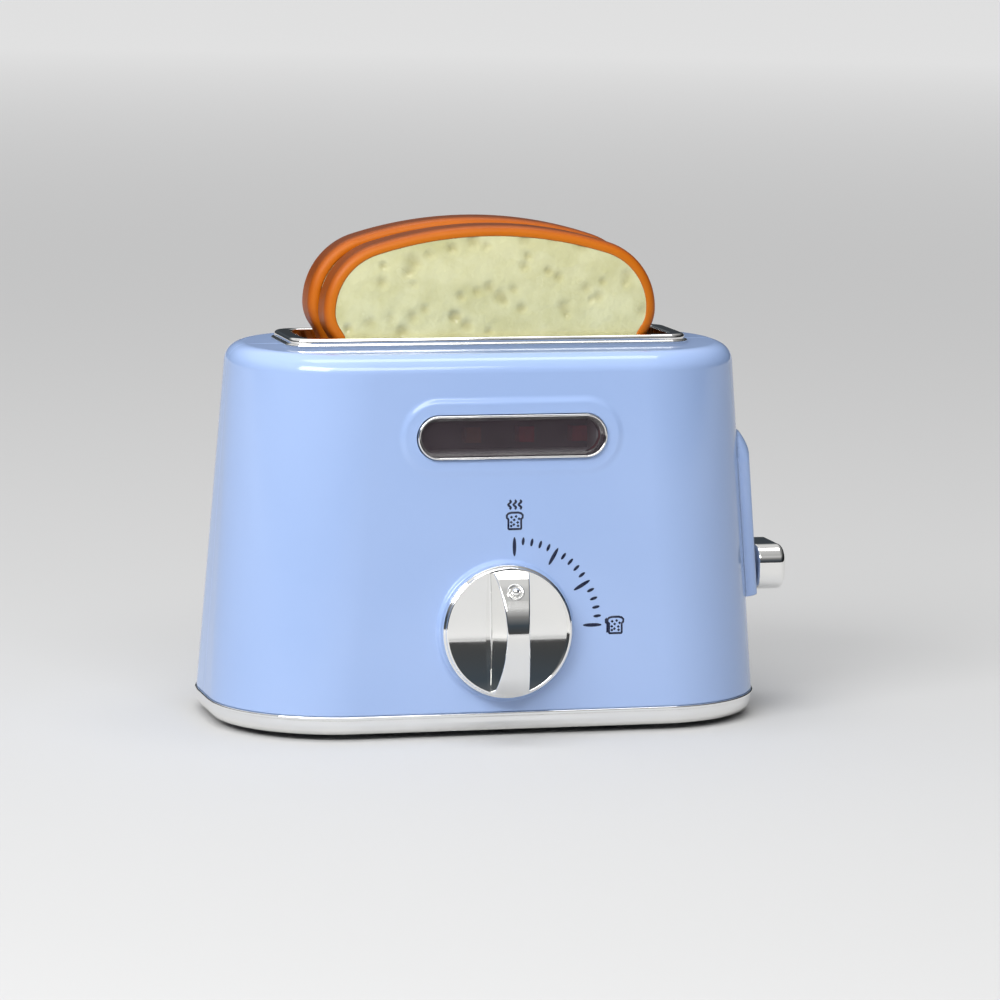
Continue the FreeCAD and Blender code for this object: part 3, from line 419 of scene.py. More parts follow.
def wall_place(column, z):
    """A point of the wall, with the tower and the seam."""
    cx, cy, nx, ny = outline_at(column, z)
    kind, side, _, where = column
    out = BODY_CORNER
    if kind == "side":
        if side > 0:
            out += tower_rise(where, z)
        if abs(where) < SEAM_HALF:
            out -= SEAM_DEEP
    return np.array((cx + nx * out, cy + ny * out, z))


def wall_normal(column, z):
    """The way the wall faces, from its own slope where the tower stands."""
    kind, side, face, where = column
    _, _, nx, ny = outline_at(column, z)
    if kind != "side" or side < 0:
        return np.array((nx, ny, BODY_LEAN * (abs(nx) + abs(ny))))
    step = 0.02
    where = max(abs(where), 0.1) * face
    ends = [wall_place((kind, side, face, where + away), z) for away in (step, -step)]
    heights = [wall_place((kind, side, face, where), z + away) for away in (step, -step)]
    across, up = ends[0] - ends[1], heights[0] - heights[1]
    facing = np.cross(across, up)
    return facing / np.linalg.norm(facing)


# The wall's net lies closest at the seam and at the tower's edges.
side_steps = [0.02, 0.12, 0.4, 2.6, 5, 7, 8.5, 9.5, 10.5, 11.5, 12.3, 13.1, 13.8, 14.4, 14.9, 15.3, 15.7]
side_steps += [16.05, 16.4, 16.7, 17.0, 17.25, 17.45, 17.6, 17.75, 17.86, 17.94, 17.98, 18.03, 19]
side_steps.append(SIDE_HALF)
corner_steps = [step / 26 for step in range(1, 27)]
wall_rows = [8.0, 12, 18, 24, 30, 34, 35.45, 35.5, 35.54, 35.62, 35.75, 35.95, 36.3, 36.9, 37.5, 40, 46]
wall_rows += [52, 58, 64, 70, 74.5, 75.5, 76.5, 77.2] + [77.5 + 0.2 * step for step in range(46)]
wall_rows += [86.55, 87.5, 90, 94, 98, 103]
top_start = math.atan(BODY_LEAN)
wall_top = BODY_HIGH - TOP_ROUND + TOP_ROUND * math.sin(top_start)
wall_rows.append(wall_top)
slot_rows = [wall_rows.index(z) for z in LEVER_SLOT[1:]]
slot_column = side_steps.index(LEVER_SLOT[0])
COLLAR_SIZE = (117.6, 29.6, 5.8)


def housing_half(face):
    """One half of the housing's skin; face is -1 for the front and 1 for the rear."""
    skin = Skin()
    right, left = [[("side", side, face, face * y) for y in side_steps] +
                   [("corner", side, face, share) for share in corner_steps] for side in (1, -1)]
    middle = [("end", 0, face, 1 - step / 12) for step in range(1, 24)]
    around = right + middle + left[::-1]

    def wall(columns, rows):
        places = [[wall_place(c, z) for c in columns] for z in rows]
        normals = [[wall_normal(c, z) for c in columns] for z in rows]
        ways_out = [[np.array((*outline_at(c, z)[2:], 0)) for c in columns] for z in rows]
        skin.patch(places, normals, np.array(places) - BODY_WALL * np.array(ways_out))

    first, last = slot_rows
    wall(right[:slot_column + 1], wall_rows[:first + 1])
    wall(right[:slot_column + 1], wall_rows[last:])
    wall(right[slot_column:], wall_rows)
    wall(left, wall_rows)
    if face > 0:
        wall([right[-1]] + middle + [left[-1]], wall_rows)
    # The small round at the lower edge, the large one at the top, and the flat top up to the collar. Each
    # row has the height that its outline is that of, how far it is set in, its own height and its turn.
    low_edge, top_edge = [], []
    for step in range(5):
        turn = math.radians(-90 + 90 * step / 4)
        low_edge.append((wall_rows[0], LOW_ROUND * (1 - math.cos(turn)),
                         BODY_LOW + LOW_ROUND * (1 + math.sin(turn)), turn))
    for step in range(15):
        turn = top_start + (math.pi / 2 - top_start) * step / 14
        top_edge.append((wall_top, TOP_ROUND * (math.cos(top_start) - math.cos(turn)),
                         BODY_HIGH - TOP_ROUND + TOP_ROUND * math.sin(turn), turn))
    on_seam = [column[0] == "side" and abs(column[3]) < SEAM_HALF for column in around]
    for rows in (low_edge, top_edge):
        places, normals = [], []
        for at, inset, z, turn in rows:
            place_row, normal_row = [], []
            for column, in_seam in zip(around, on_seam):
                cx, cy, nx, ny = outline_at(column, at)
                out = BODY_CORNER - inset - (SEAM_DEEP if in_seam else 0)
                place_row.append((cx + nx * out, cy + ny * out, z))
                tilt = math.atan(BODY_LEAN * (abs(nx) + abs(ny)))
                share = (turn - top_start) / (math.pi / 2 - top_start)
                eased = tilt + share * (math.pi / 2 - tilt) if turn > 0 else turn
                normal_row.append((nx * math.cos(eased), ny * math.cos(eased), math.sin(eased)))
            places.append(place_row)
            normals.append(normal_row)
        skin.patch(places, normals)
    rim = np.array(places[-1])
    inset = BODY_CORNER + BODY_LEAN * (wall_top - BODY_LOW)
    columns = []
    for column in around:
        cx, cy, nx, ny = outline_at(column, wall_top)
        columns.append((cx / (BODY_WIDTH / 2 - inset), cy / (BODY_DEPTH / 2 - inset), nx, ny))
    hole = np.array([(x, y, BODY_HIGH) for x, y, _, _ in ring_of(columns, COLLAR_SIZE)])
    flat = [rim + (hole - rim) * share for share in (0, 0.1, 0.4, 0.7, 1)]
    for row in flat:
        row[:, 2] = [BODY_HIGH - (SEAM_DEEP if in_seam else 0) for in_seam in on_seam]
    flat[0] = rim
    skin.patch(flat, np.tile((0.0, 0.0, 1.0), (len(flat), len(around), 1)))
    if face < 0:
        flat_front(skin, [right[-1]] + middle + [left[-1]])
    skin.thicken()
    return skin


def flat_front(skin, columns):
    """The flat of the front: the window's surround, the knob's plinth, and the plane between them."""
    origin, ways = on_front(*KNOB_AT)
    plinth_size = (2 * PLINTH_RADIUS, 2 * PLINTH_RADIUS, PLINTH_RADIUS)
    surround = [(7.0, 0.0), (5.0, 0.0, 2.8), (3.4, 0.75, 2.2), (0.0, 0.75, 0.3), (0.0, -2.0)]
    plinth = [(2.0, 0.0), (0.25, 0.0, 0.9), (-0.5, 1.2, 1.1), (-17.2, 1.2, 0.4), (-17.2, -2.0)]
    border = [wall_place(c, wall_rows[0]) for c in columns]
    border += [wall_place(columns[-1], z) for z in wall_rows[1:-1]]
    border += [wall_place(c, wall_rows[-1]) for c in reversed(columns)]
    border += [wall_place(columns[0], z) for z in reversed(wall_rows[1:-1])]
    flat = [((p - origin) @ ways[0], (p - origin) @ ways[1]) for p in border]
    loops = [list(range(len(flat)))]
    for ring, corners, place, fade in (
        (ring_of(round_rectangle(24, 24), WINDOW_SIZE), surround, WINDOW_AT, 0.8),
        (ring_of(circle(96), plinth_size), plinth, KNOB_AT, 0.0),
    ):
        # The plane itself is the profile's first stretch, so the rounding that follows it starts the ring.
        shape = section(corners, steps=7)[1:]
        sweep(skin, ring, shape, on_front(*place), fade)
        out = shape[0][0][0]
        shift, rise = place[0] - KNOB_AT[0], (place[1] - KNOB_AT[1]) / ways[1][2]
        loops.append(list(range(len(flat), len(flat) + len(ring))))
        flat += [(x + nx * out + shift, y + ny * out + rise) for x, y, nx, ny in ring]
    # The triangulation counts as inside a loop only what lies to the left of it.
    for loop in loops:
        ahead = loop[1:] + loop[:1]
        if sum(flat[a][0] * flat[b][1] - flat[b][0] * flat[a][1] for a, b in zip(loop, ahead)) < 0:
            loop.reverse()
    found = delaunay_2d_cdt([Vector(p) for p in flat], [], loops, 1, 1e-6)
    ids = []
    for same in found[3]:
        inner = same[0] >= len(border)
        place = np.array((*flat[same[0]], 0.0)) @ ways + origin if inner else border[same[0]]
        ids.append(skin.vertex(place, place - BODY_WALL * ways[2]))
    for triangle, inside in zip(found[2], found[5]):
        if inside != [0]:
            continue
        ring = [ids[v] for v in triangle]
        a, b, c = (np.array(skin.places[v]) for v in ring)
        if np.cross(b - a, c - a) @ ways[2] < 0:
            ring.reverse()
        skin.face(ring, [ways[2]] * 3)


def new_finish(name, roughness, metallic=0.0):
    """A material with its tree, its shader and the piece's own coordinates."""
    finish = bpy.data.materials.new(name)
    finish.use_nodes = True
    tree = finish.node_tree
    shader = tree.nodes["Principled BSDF"]
    shader.inputs["Roughness"].default_value = roughness
    shader.inputs["Metallic"].default_value = metallic
    return finish, tree, shader, put(tree, "ShaderNodeTexCoord").outputs["Object"]


def noise(tree, place, scale, detail=2.0, roughness=0.5):
    made = put(tree, "ShaderNodeTexNoise", {"Vector": place, "Scale": scale, "Detail": detail,
                                            "Roughness": roughness})
    return made.outputs["Fac"]


def relief(tree, shader, height, depth, strength=1.0):
    """Raise the surface by a height pattern; depth is in metres."""
    bump = put(tree, "ShaderNodeBump", {"Height": height, "Distance": depth, "Strength": strength})
    tree.links.new(bump.outputs["Normal"], shader.inputs["Normal"])


def tone(tree, shader, factor, *stops):
    """Colour the surface by a ramp along a factor."""
    tree.links.new(shades(tree, factor, *stops), shader.inputs["Base Color"])


def gloss(tree, shader, factor, low, high):
    """Let the surface's roughness run between low and high along a noise."""
    tree.links.new(rescale(tree, factor, 0.3, 0.7, low, high), shader.inputs["Roughness"])


blue_shell, tree, shader, place = new_finish("blue_shell", 0.08)
tone(tree, shader, noise(tree, place, 14.0), (0.35, paint(158, 183, 228)), (0.65, paint(163, 187, 231)))
gloss(tree, shader, noise(tree, place, 90.0, 3.0), 0.055, 0.10)
relief(tree, shader, noise(tree, place, 160.0, 1.0), 0.00002, 0.5)
shader.inputs["IOR"].default_value = 1.53

housing_half(-1).piece("housing_front", blue_shell, "housing", "blue_shell", "front_shell")
housing_half(1).piece("housing_rear", blue_shell, "housing", "blue_shell", "rear_shell")

# ---- chromed skirt --------------------------------------------------------------
# A band of chromed plastic under the housing, with a fine lip along its upper edge, tucked in
# towards the table. It stands round the rim of the bottom plate.

bright_trim, tree, shader, place = new_finish("bright_trim", 0.04, 1.0)
tone(tree, shader, noise(tree, place, 35.0), (0.3, (0.88, 0.88, 0.87, 1)), (0.7, (0.94, 0.935, 0.915, 1)))
gloss(tree, shader, noise(tree, place, 120.0, 3.0), 0.025, 0.06)
relief(tree, shader, noise(tree, place, 70.0, 1.0), 0.00003, 0.4)


def housing_ring():
    """The ring that the housing's own outline makes at its lower edge."""
    quarter = [("side", y) for y in (0, 8, 14, SIDE_HALF)]
    quarter += [("corner", step / 20) for step in range(1, 21)]
    around = []
    for side, face in ((1, 1), (-1, 1), (-1, -1), (1, -1)):
        columns = [(kind, side, face, face * where if kind == "side" else where)
                   for kind, where in quarter]
        around += columns if side == face else columns[::-1]
    ring = []
    for column in around:
        cx, cy, nx, ny = outline_at(column, BODY_LOW)
        ring.append((cx + nx * BODY_CORNER, cy + ny * BODY_CORNER, nx, ny))
    return ring


skirt = Skin()
sweep(skirt, housing_ring(), section([
    (-1.35, 2.0, 0.4), (-0.55, 3.1, 2.0), (-0.15, 4.6, 3.0), (-0.15, 6.3, 0.2), (0.5, 6.45, 0.3),
    (0.5, 7.5, 0.4), (-3.6, 7.5, 0.2), (-3.6, 2.0, 0.3)], closed=True))
skirt.piece("skirt", bright_trim, "housing", "bright_trim", "base_skirt")

# ---- slot frame -----------------------------------------------------------------
# A chromed frame that drops into the top of the housing: a low step outside, a rounded rim, and
# a smooth collar down inside the slot.

FRAME_TOP, FRAME_STEP, FRAME_FOOT = 116.4, 114.6, 109.5
outer_ring = ring_of(round_rectangle(14), (125.0, 33.0, 7.0))
inner_ring = ring_of(round_rectangle(14), (114.0, 26.0, 4.0))


def flat_rim(skin, edges, up, facing):
    """A flat face between two rings, each with how far out of it the face ends."""
    skin.patch([[(x + nx * out, y + ny * out, up) for x, y, nx, ny in ring] for ring, out in edges],
               np.tile((0.0, 0.0, facing), (2, len(outer_ring), 1)), closed=True)


slot_frame = Skin()
sweep(slot_frame, outer_ring, section([
    (-0.9, BODY_HIGH), (0.0, BODY_HIGH), (0.0, FRAME_STEP, 0.4), (-0.9, FRAME_STEP, 0.25),
    (-0.9, FRAME_TOP, 1.1), (-2.2, FRAME_TOP)]))
flat_rim(slot_frame, ((outer_ring, -2.2), (inner_ring, 0.8)), FRAME_TOP, 1.0)
sweep(slot_frame, inner_ring, section([
    (0.8, FRAME_TOP), (0.0, FRAME_TOP, 0.7), (0.0, FRAME_FOOT, 0.3), (1.6, FRAME_FOOT, 0.3),
    (1.6, BODY_HIGH)]))
flat_rim(slot_frame, ((inner_ring, 1.6), (outer_ring, -0.9)), BODY_HIGH, -1.0)
slot_frame.piece("slot_trim", bright_trim, "housing", "bright_trim", "slot_frame")

# ---- window ---------------------------------------------------------------------
# A thin chromed ring let into the front round a smoked lens. Behind the lens three lamps, one amber
# and two red, shine out of a grey box on a small circuit board.

BEZEL_SIZE = (58.0, 13.0, 6.5)
bezel = Skin()
sweep(bezel, ring_of(round_rectangle(24), BEZEL_SIZE), section([
    (-1.6, -4.6), (0.0, -4.6), (0.0, 1.4, 0.3), (-0.7, 1.4, 0.3), (-0.7, -1.3), (-1.6, -1.3),
    (-1.6, -4.6)]), on_front(*WINDOW_AT))
bezel.piece("window_ring", bright_trim, "housing", "bright_trim", "window_bezel")


def dress(finish, *nodes):
    """Give CAD nodes their finish."""
    for node in nodes:
        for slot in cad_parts[node].material_slots:
            slot.material = finish


smoked_lens, tree, shader, place = new_finish("smoked_lens", 0.05)
tone(tree, shader, noise(tree, place, 60.0),
     (0.3, (0.052, 0.040, 0.048, 1)), (0.7, (0.066, 0.050, 0.060, 1)))
gloss(tree, shader, noise(tree, place, 90.0), 0.03, 0.08)
shader.inputs["Alpha"].default_value = 0.45
shader.inputs["IOR"].default_value = 1.49
dress(smoked_lens, "window_lens")

lamp_body, tree, shader, place = new_finish("lamp_body", 0.2)
across = put(tree, "ShaderNodeSeparateXYZ", {"Vector": place}).outputs["X"]
along = rescale(tree, across, to_row((-4.0, 0, 0))[0], to_row((0.0, 0, 0))[0], 0.0, 1.0)
cloud = noise(tree, place, 300.0)
amber = shades(tree, cloud, (0.3, paint(120, 72, 48)), (0.7, paint(140, 86, 58)))
red = shades(tree, cloud, (0.3, paint(150, 16, 40)), (0.7, paint(180, 22, 52)))
tint = put(tree, "ShaderNodeMix", data_type="RGBA")
for socket, source in ((0, along), (6, amber), (7, red)):
    tree.links.new(source, tint.inputs[socket])
tree.links.new(tint.outputs[2], shader.inputs["Base Color"])
dress(lamp_body, "lamps")


def moulded(name, low, high, roughness=0.45, grain=700.0):
    """A plain moulded plastic: a faint change of tone and a fine spark-eroded grain."""
    finish, tree, shader, place = new_finish(name, roughness)
    tone(tree, shader, noise(tree, place, 40.0, 3.0), (0.3, low), (0.7, high))
    gloss(tree, shader, noise(tree, place, 200.0, 3.0), roughness - 0.06, roughness + 0.06)
    relief(tree, shader, noise(tree, place, grain, 2.0), 0.00005, 0.5)
    return finish


# A dark grey; in the bread well it is painted shade for the deep slot.
grey_inner = moulded("grey_inner", paint(92, 95, 100), paint(100, 103, 108), 0.5)
lamp_grey = moulded("lamp_grey", paint(196, 196, 200), paint(206, 206, 210), 0.45)
circuit_board = moulded("circuit_board", paint(22, 84, 48), paint(28, 98, 56), 0.35, 1500.0)
lamp_board = moulded("lamp_board", paint(64, 58, 66), paint(74, 66, 76), 0.4, 900.0)
dress(lamp_grey, "lamp_box")
dress(lamp_board, "lamp_board")
dress(circuit_board, "main_board")

# ---- knob -----------------------------------------------------------------------
# A chromed knob that turns on a D-shaped shaft: a thin stepped rim, two hollowed sides and an
# arched grip with a waist, with a small ball in a ring to point at the dial.

KNOB_RING, KNOB_LIFT = 18.6, 1.6
RIM_RADIUS, RIM_HIGH, SHAFT_HOLE = 19.8, 3.4, 3.1
GRIP_WAIST, GRIP_FLARE, GRIP_REACH = 3.5, 2.1, 18.8
GRIP_HIGH, GRIP_RADIUS, GRIP_EDGE = 14.4, 23.8, 0.55
GRIP_STEEP, GRIP_LEAN = 0.1, 0.12
HOLLOW_LOW, HOLLOW_RISE = 1.75, 1.65


def grip_half(y):
    """Half the grip's width, waisted in its middle."""
    return GRIP_WAIST + GRIP_FLARE * (y / GRIP_REACH) ** 2


def grip_top(y):
    return GRIP_HIGH - GRIP_RADIUS + math.sqrt(GRIP_RADIUS ** 2 - y ** 2)


def hollow_floor(y):
    return HOLLOW_LOW + HOLLOW_RISE * (y / KNOB_RING) ** 2


def grip_wall(y):
    """How far the grip's sides lean out on their way down."""
    return GRIP_STEEP + GRIP_LEAN * max(0.0, grip_top(y) - hollow_floor(y) - 2 * GRIP_EDGE)


def knob_height(x, y):
    """Height of the knob's face: an arched grip whose steep sides rise from two hollows, edges rounded."""
    top, low = grip_top(y), hollow_floor(y)
    out = abs(x) - grip_half(y)
    drop = max(0.0, top - low)
    edge = min(GRIP_EDGE, drop / 2)
    if out < 0:
        reach = max(0.0, 1 + out / GRIP_EDGE)
        return top - edge * (1 - math.sqrt(1 - reach ** 2))
    wall = grip_wall(y)
    if out < wall:
        return top - edge - (drop - 2 * edge) * out / wall
    reach = max(0.0, 1 - (out - wall) / GRIP_EDGE)
    return low + edge * (1 - math.sqrt(1 - reach ** 2))


origin, ways = on_front(*KNOB_AT)
origin = origin + KNOB_LIFT * ways[2]
knob = Skin()
steps_y = [math.sin(math.pi / 2 * step / 48) for step in range(-48, 49)]
grip_round = [GRIP_EDGE * (1 - math.cos(math.pi / 2 * step / 7)) for step in range(8)]
places, normals = [], []
for t in steps_y:
    row = []
    edge = grip_half(0.0)
    for _ in range(12):
        edge = grip_half(t * math.sqrt(KNOB_RING ** 2 - edge ** 2))
    wall = grip_wall(t * math.sqrt(KNOB_RING ** 2 - edge ** 2))
    right = [(edge - GRIP_EDGE) * share for share in (0, 0.25, 0.5, 0.75, 0.95)]
    right += [edge - step for step in reversed(grip_round)]
    right += [edge + wall * share for share in (0.02, 0.35, 0.65, 0.98)]
    right += [edge + wall + step for step in grip_round]
    last = right[-1]
    right += [last + (KNOB_RING - last) * math.sin(math.pi / 2 * step / 16) for step in range(1, 17)]
    for x in [-x for x in reversed(right)] + right[1:]:
        y = t * math.sqrt(max(0.0, KNOB_RING ** 2 - x ** 2))
        row.append((x, y))
    places.append([(x, y, knob_height(x, y)) for x, y in row])
    small = 0.01
    normals.append([((knob_height(x - small, y) - knob_height(x + small, y)) / (2 * small),
                     (knob_height(x, y - small) - knob_height(x, y + small)) / (2 * small), 1.0)
                    for x, y in row])
places, normals = np.array(places), np.array(normals)
knob.patch(places @ ways + origin, normals @ ways)
rim = section([(RIM_RADIUS, 0.0), (RIM_RADIUS, 1.9, 0.35), (19.15, 2.35, 0.15), (19.15, RIM_HIGH, 0.35),
               (KNOB_RING, RIM_HIGH)], steps=4)
rim.append([(RIM_RADIUS, 0.0, 0, -1), (SHAFT_HOLE, 0.0, 0, -1)])
for row in (places[0], places[-1]):
    foot = row.copy()
    foot[:, 2] = RIM_HIGH
    facing = row / KNOB_RING * np.where(row[:, 2:] > RIM_HIGH, 1, -1) * (1, 1, 0)
    knob.patch(np.array([foot, row]) @ ways + origin, np.array([facing, facing]) @ ways)
    rim_ring = [(0, 0, x / KNOB_RING, y / KNOB_RING) for x, y, _ in row]
    sweep(knob, rim_ring, rim, (origin, ways), closed=False)
knob.piece("timer_knob", bright_trim, "knob", "bright_trim", "knob")

POINTER_UP, POINTER_RADIUS = 12.6, 2.6
BALL_UP, BALL_HALF, BALL_HIGH = 0.2, 1.25, 1.0
tilt = math.asin(POINTER_UP / GRIP_RADIUS)
lift_way = math.cos(tilt) * ways[2] + math.sin(tilt) * ways[1]
over_way = math.cos(tilt) * ways[1] - math.sin(tilt) * ways[2]
pointer_at = (origin + POINTER_UP * ways[1] + grip_top(POINTER_UP) * ways[2],
              np.array((ways[0], over_way, lift_way)))
pointer_ring = ring_of(circle(40), (2 * POINTER_RADIUS, 2 * POINTER_RADIUS, POINTER_RADIUS))
pointer = Skin()
sweep(pointer, pointer_ring, section([
    (0.0, -0.5), (0.0, 0.45, 0.2), (-0.5, 0.45, 0.2), (-0.75, 0.1, 0.15), (-1.5, 0.1)]), pointer_at)
ball = []
for degrees in range(-10, 91, 10):
    turn = math.radians(degrees)
    ball.append((BALL_HALF * math.cos(turn) - POINTER_RADIUS, BALL_UP + BALL_HIGH * math.sin(turn),
                 math.cos(turn), math.sin(turn)))
sweep(pointer, pointer_ring, [ball], pointer_at)
pointer.piece("knob_pointer_ball", bright_trim, "knob", "bright_trim", "knob_pointer")

white_acetal = moulded("white_acetal", paint(222, 222, 214), paint(230, 230, 223), 0.35, 900.0)
black_plastic = moulded("black_plastic", paint(30, 31, 33), paint(38, 39, 42), 0.45, 800.0)
dress(white_acetal, "knob_shaft", "timer_case")

# ---- bread ----------------------------------------------------------------------
# Two play slices, each a rounded ring of toasted crust with a cream face let into both sides, dimpled
# like crumb. They stand on the carriage, one behind the other.

BREAD_TOP, BREAD_HALF, WIDEST_Z, WAIST_HALF, WAIST_Z, BREAD_FOOT = 149.6, 51.6, 123.8, 46.0, 106.0, 60.3
CROWN_CORNER, SHOULDER, FOOT_CORNER = 21.2, 12.0, 3.6
CRUST_BORDER, CRUST_HALF = 3.3, 6.0
FACE_PROUD, FACE_FALL, FACE_SEAT = 6.15, 0.55, 4.4
DIMPLES, DIMPLE_DEEP = 170, 0.8
HEART = np.array((0.0, 103.0))


def bread_edge():
    """The slice's outline from the middle of its foot to the middle of its top, with the way out."""
    rise, reach = BREAD_TOP - WIDEST_Z, BREAD_HALF - CROWN_CORNER
    crown = (reach ** 2 + rise ** 2 - CROWN_CORNER ** 2) / (2 * (rise - CROWN_CORNER))
    crown_turn = math.atan2(WIDEST_Z - BREAD_TOP + crown, reach)
    tuck, drop = BREAD_HALF - WAIST_HALF, WIDEST_Z - WAIST_Z
    hollow = (tuck ** 2 + drop ** 2) / (2 * tuck) - SHOULDER
    neck_turn = math.atan2(-drop, WAIST_HALF + hollow - BREAD_HALF + SHOULDER)
    edge = [(x, BREAD_FOOT, 0.0, -1.0) for x in (0.0, 12.0, 24.0, 36.0)]
    for cx, cz, radius, first, last, steps, side in (
        (WAIST_HALF - FOOT_CORNER, BREAD_FOOT + FOOT_CORNER, FOOT_CORNER, -math.pi / 2, 0.0, 6, 1),
        (WAIST_HALF + hollow, WAIST_Z, hollow, math.pi, math.pi + neck_turn, 14, -1),
        (BREAD_HALF - SHOULDER, WIDEST_Z, SHOULDER, neck_turn, 0.0, 10, 1),
        (reach, WIDEST_Z, CROWN_CORNER, 0.0, crown_turn, 22, 1),
        (0.0, BREAD_TOP - crown, crown, crown_turn, math.pi / 2, 14, 1),
    ):
        for step in range(steps + 1):
            turn = first + (last - first) * step / steps
            point = (cx + radius * math.cos(turn), cz + radius * math.sin(turn),
                     side * math.cos(turn), side * math.sin(turn))
            if math.hypot(point[0] - edge[-1][0], point[1] - edge[-1][1]) > 1e-6:
                edge.append(point)
    return edge


half_edge = bread_edge()
whole_edge = half_edge + [(-x, z, -nx, nz) for x, z, nx, nz in reversed(half_edge[1:-1])]
FINE_STEP = 1.4
fine_edge = []
for here, ahead in zip(whole_edge, whole_edge[1:] + whole_edge[:1]):
    here, ahead = np.array(here), np.array(ahead)
    steps = max(1, round(np.linalg.norm(ahead[:2] - here[:2]) / FINE_STEP))
    fine_edge += [here + (ahead - here) * step / steps for step in range(steps)]
CRUST_SECTION = section([
    (-CRUST_BORDER, -5.75, 0.4), (0.0, -CRUST_HALF, 2.6), (0.0, CRUST_HALF, 2.6),
    (-CRUST_BORDER, 5.75, 0.4), (-CRUST_BORDER, 4.0), (-CRUST_BORDER, -4.0)], closed=True, steps=9)


def sink(spots, x, z):
    """How deep the dimples are together at a place."""
    away = ((x[..., None] - spots[:, 0]) ** 2 + (z[..., None] - spots[:, 1]) ** 2) / spots[:, 2] ** 2
    return (spots[:, 3] * np.exp(-away)).sum(-1)


def proud(spots, x, z, share):
    """How far a face stands out from the slice's middle, share of the way from its heart to its edge."""
    return FACE_PROUD - FACE_FALL * share ** 8 - DIMPLE_DEEP * np.tanh(sink(spots, x, z) / DIMPLE_DEEP)


def make_slice(name, middle, seed):
    """Crust and faces of one slice, its middle at x, y and raised by z."""
    middle = np.array(middle)
    crust = Skin()
    for stretch in CRUST_SECTION:
        places = [[(x + nx * out, across, z + nz * out) for x, z, nx, nz in whole_edge]
                  for out, across, _, _ in stretch]
        normals = [[(nx * face_out, face_across, nz * face_out) for _, _, nx, nz in whole_edge]
                   for _, _, face_out, face_across in stretch]
        # What faces outwards is darkest: partly the crust's own toasted tone, partly painted shade. The
        # extra darkening at the top is painted shade that tones down the top, which the lamps above light
        # most.
        marks = [[0.02 + max(0.0, face_out) ** 3 * (0.6 + 0.4 * max(0.0, nz)) for _, _, _, nz in whole_edge]
                 for _, _, face_out, _ in stretch]
        crust.patch(np.array(places) + middle, normals, marks=marks, closed=True)
    crust.piece(name + "_crust_ring", crust_brown, name, "crust_brown", name + "_crust")

    # Each face's net runs in rings from its edge to its heart; the last ring is a point.
    scatter = np.random.default_rng(seed)
    faces = Skin()
    shares = [1.0, 0.995, 0.985, 0.97] + [0.95 * (1 - step / 60) for step in range(61)]
    inset = CRUST_BORDER + 0.02
    edge = np.array([(x - nx * inset, z - nz * inset) for x, z, nx, nz in fine_edge])
    reach = np.linalg.norm(edge - HEART, axis=1)
    net = np.array([HEART + (edge - HEART) * share for share in shares])
    x, z = net[..., 0], net[..., 1]
    share = np.array(shares)[:, None] * np.ones(len(edge))
    fall = (FACE_FALL * 8 * share ** 7 / reach)[..., None] * (edge - HEART) / reach[:, None]
    small = 0.05
    for side in (-1, 1):
        spots = np.array([(scatter.uniform(-48, 48), scatter.uniform(62, 147), scatter.uniform(1.0, 2.0),
                           scatter.uniform(0.35, 0.75)) for _ in range(DIMPLES)])
        slope_x = (proud(spots, x + small, z, share) - proud(spots, x - small, z, share)) / (2 * small)
        slope_z = (proud(spots, x, z + small, share) - proud(spots, x, z - small, share)) / (2 * small)
        places = np.stack((x, side * proud(spots, x, z, share), z), -1)
        normals = np.stack((fall[..., 0] - slope_x, np.full_like(x, side), fall[..., 1] - slope_z), -1)
        # The dimples' depth is also the mark that darkens the cream in them: painted shade.
        marks = np.tanh(sink(spots, x, z) / DIMPLE_DEEP)
        faces.patch(places + middle, normals, marks=marks, closed=True)
        back = np.stack((x[0], np.full(len(edge), side * FACE_SEAT), z[0]), -1)
        faces.patch(np.array((back, places[0])) + middle,
                    [[(nx, 0, nz) for _, _, nx, nz in fine_edge]] * 2, closed=True)
        centre = np.tile((HEART[0], side * FACE_SEAT, HEART[1]), (len(edge), 1))
        faces.patch(np.array((back, centre)) + middle,
                    np.tile((0.0, -side, 0.0), (2, len(edge), 1)), closed=True)
    faces.piece(name + "_crumb", bread_cream, name, "bread_cream", name + "_faces")


crust_brown, tree, shader, place = new_finish("crust_brown", 0.42)
# The mark darkens the crust: its own toasted outer tone, and painted shade where the crust faces out and
# up.
crust_tone_and_shade = put(tree, "ShaderNodeAttribute", attribute_name="tone_and_shade").outputs["Fac"]
cloud = rescale(tree, noise(tree, place, 55.0, 4.0), 0.0, 1.0, -0.2, 0.2)
tone(tree, shader, maths(tree, "ADD", cloud, crust_tone_and_shade),
     (0.0, paint(200, 108, 12)), (0.35, paint(178, 88, 10)), (1.0, paint(112, 52, 10)))
gloss(tree, shader, noise(tree, place, 90.0, 3.0), 0.36, 0.50)
shader.inputs["Specular IOR Level"].default_value = 0.25
relief(tree, shader, noise(tree, place, 380.0, 3.0), 0.0001, 0.5)

bread_cream, tree, shader, place = new_finish("bread_cream", 0.30)
cloud = shades(tree, noise(tree, place, 110.0, 3.0),
               (0.32, paint(200, 197, 146)), (0.64, paint(216, 214, 168)))
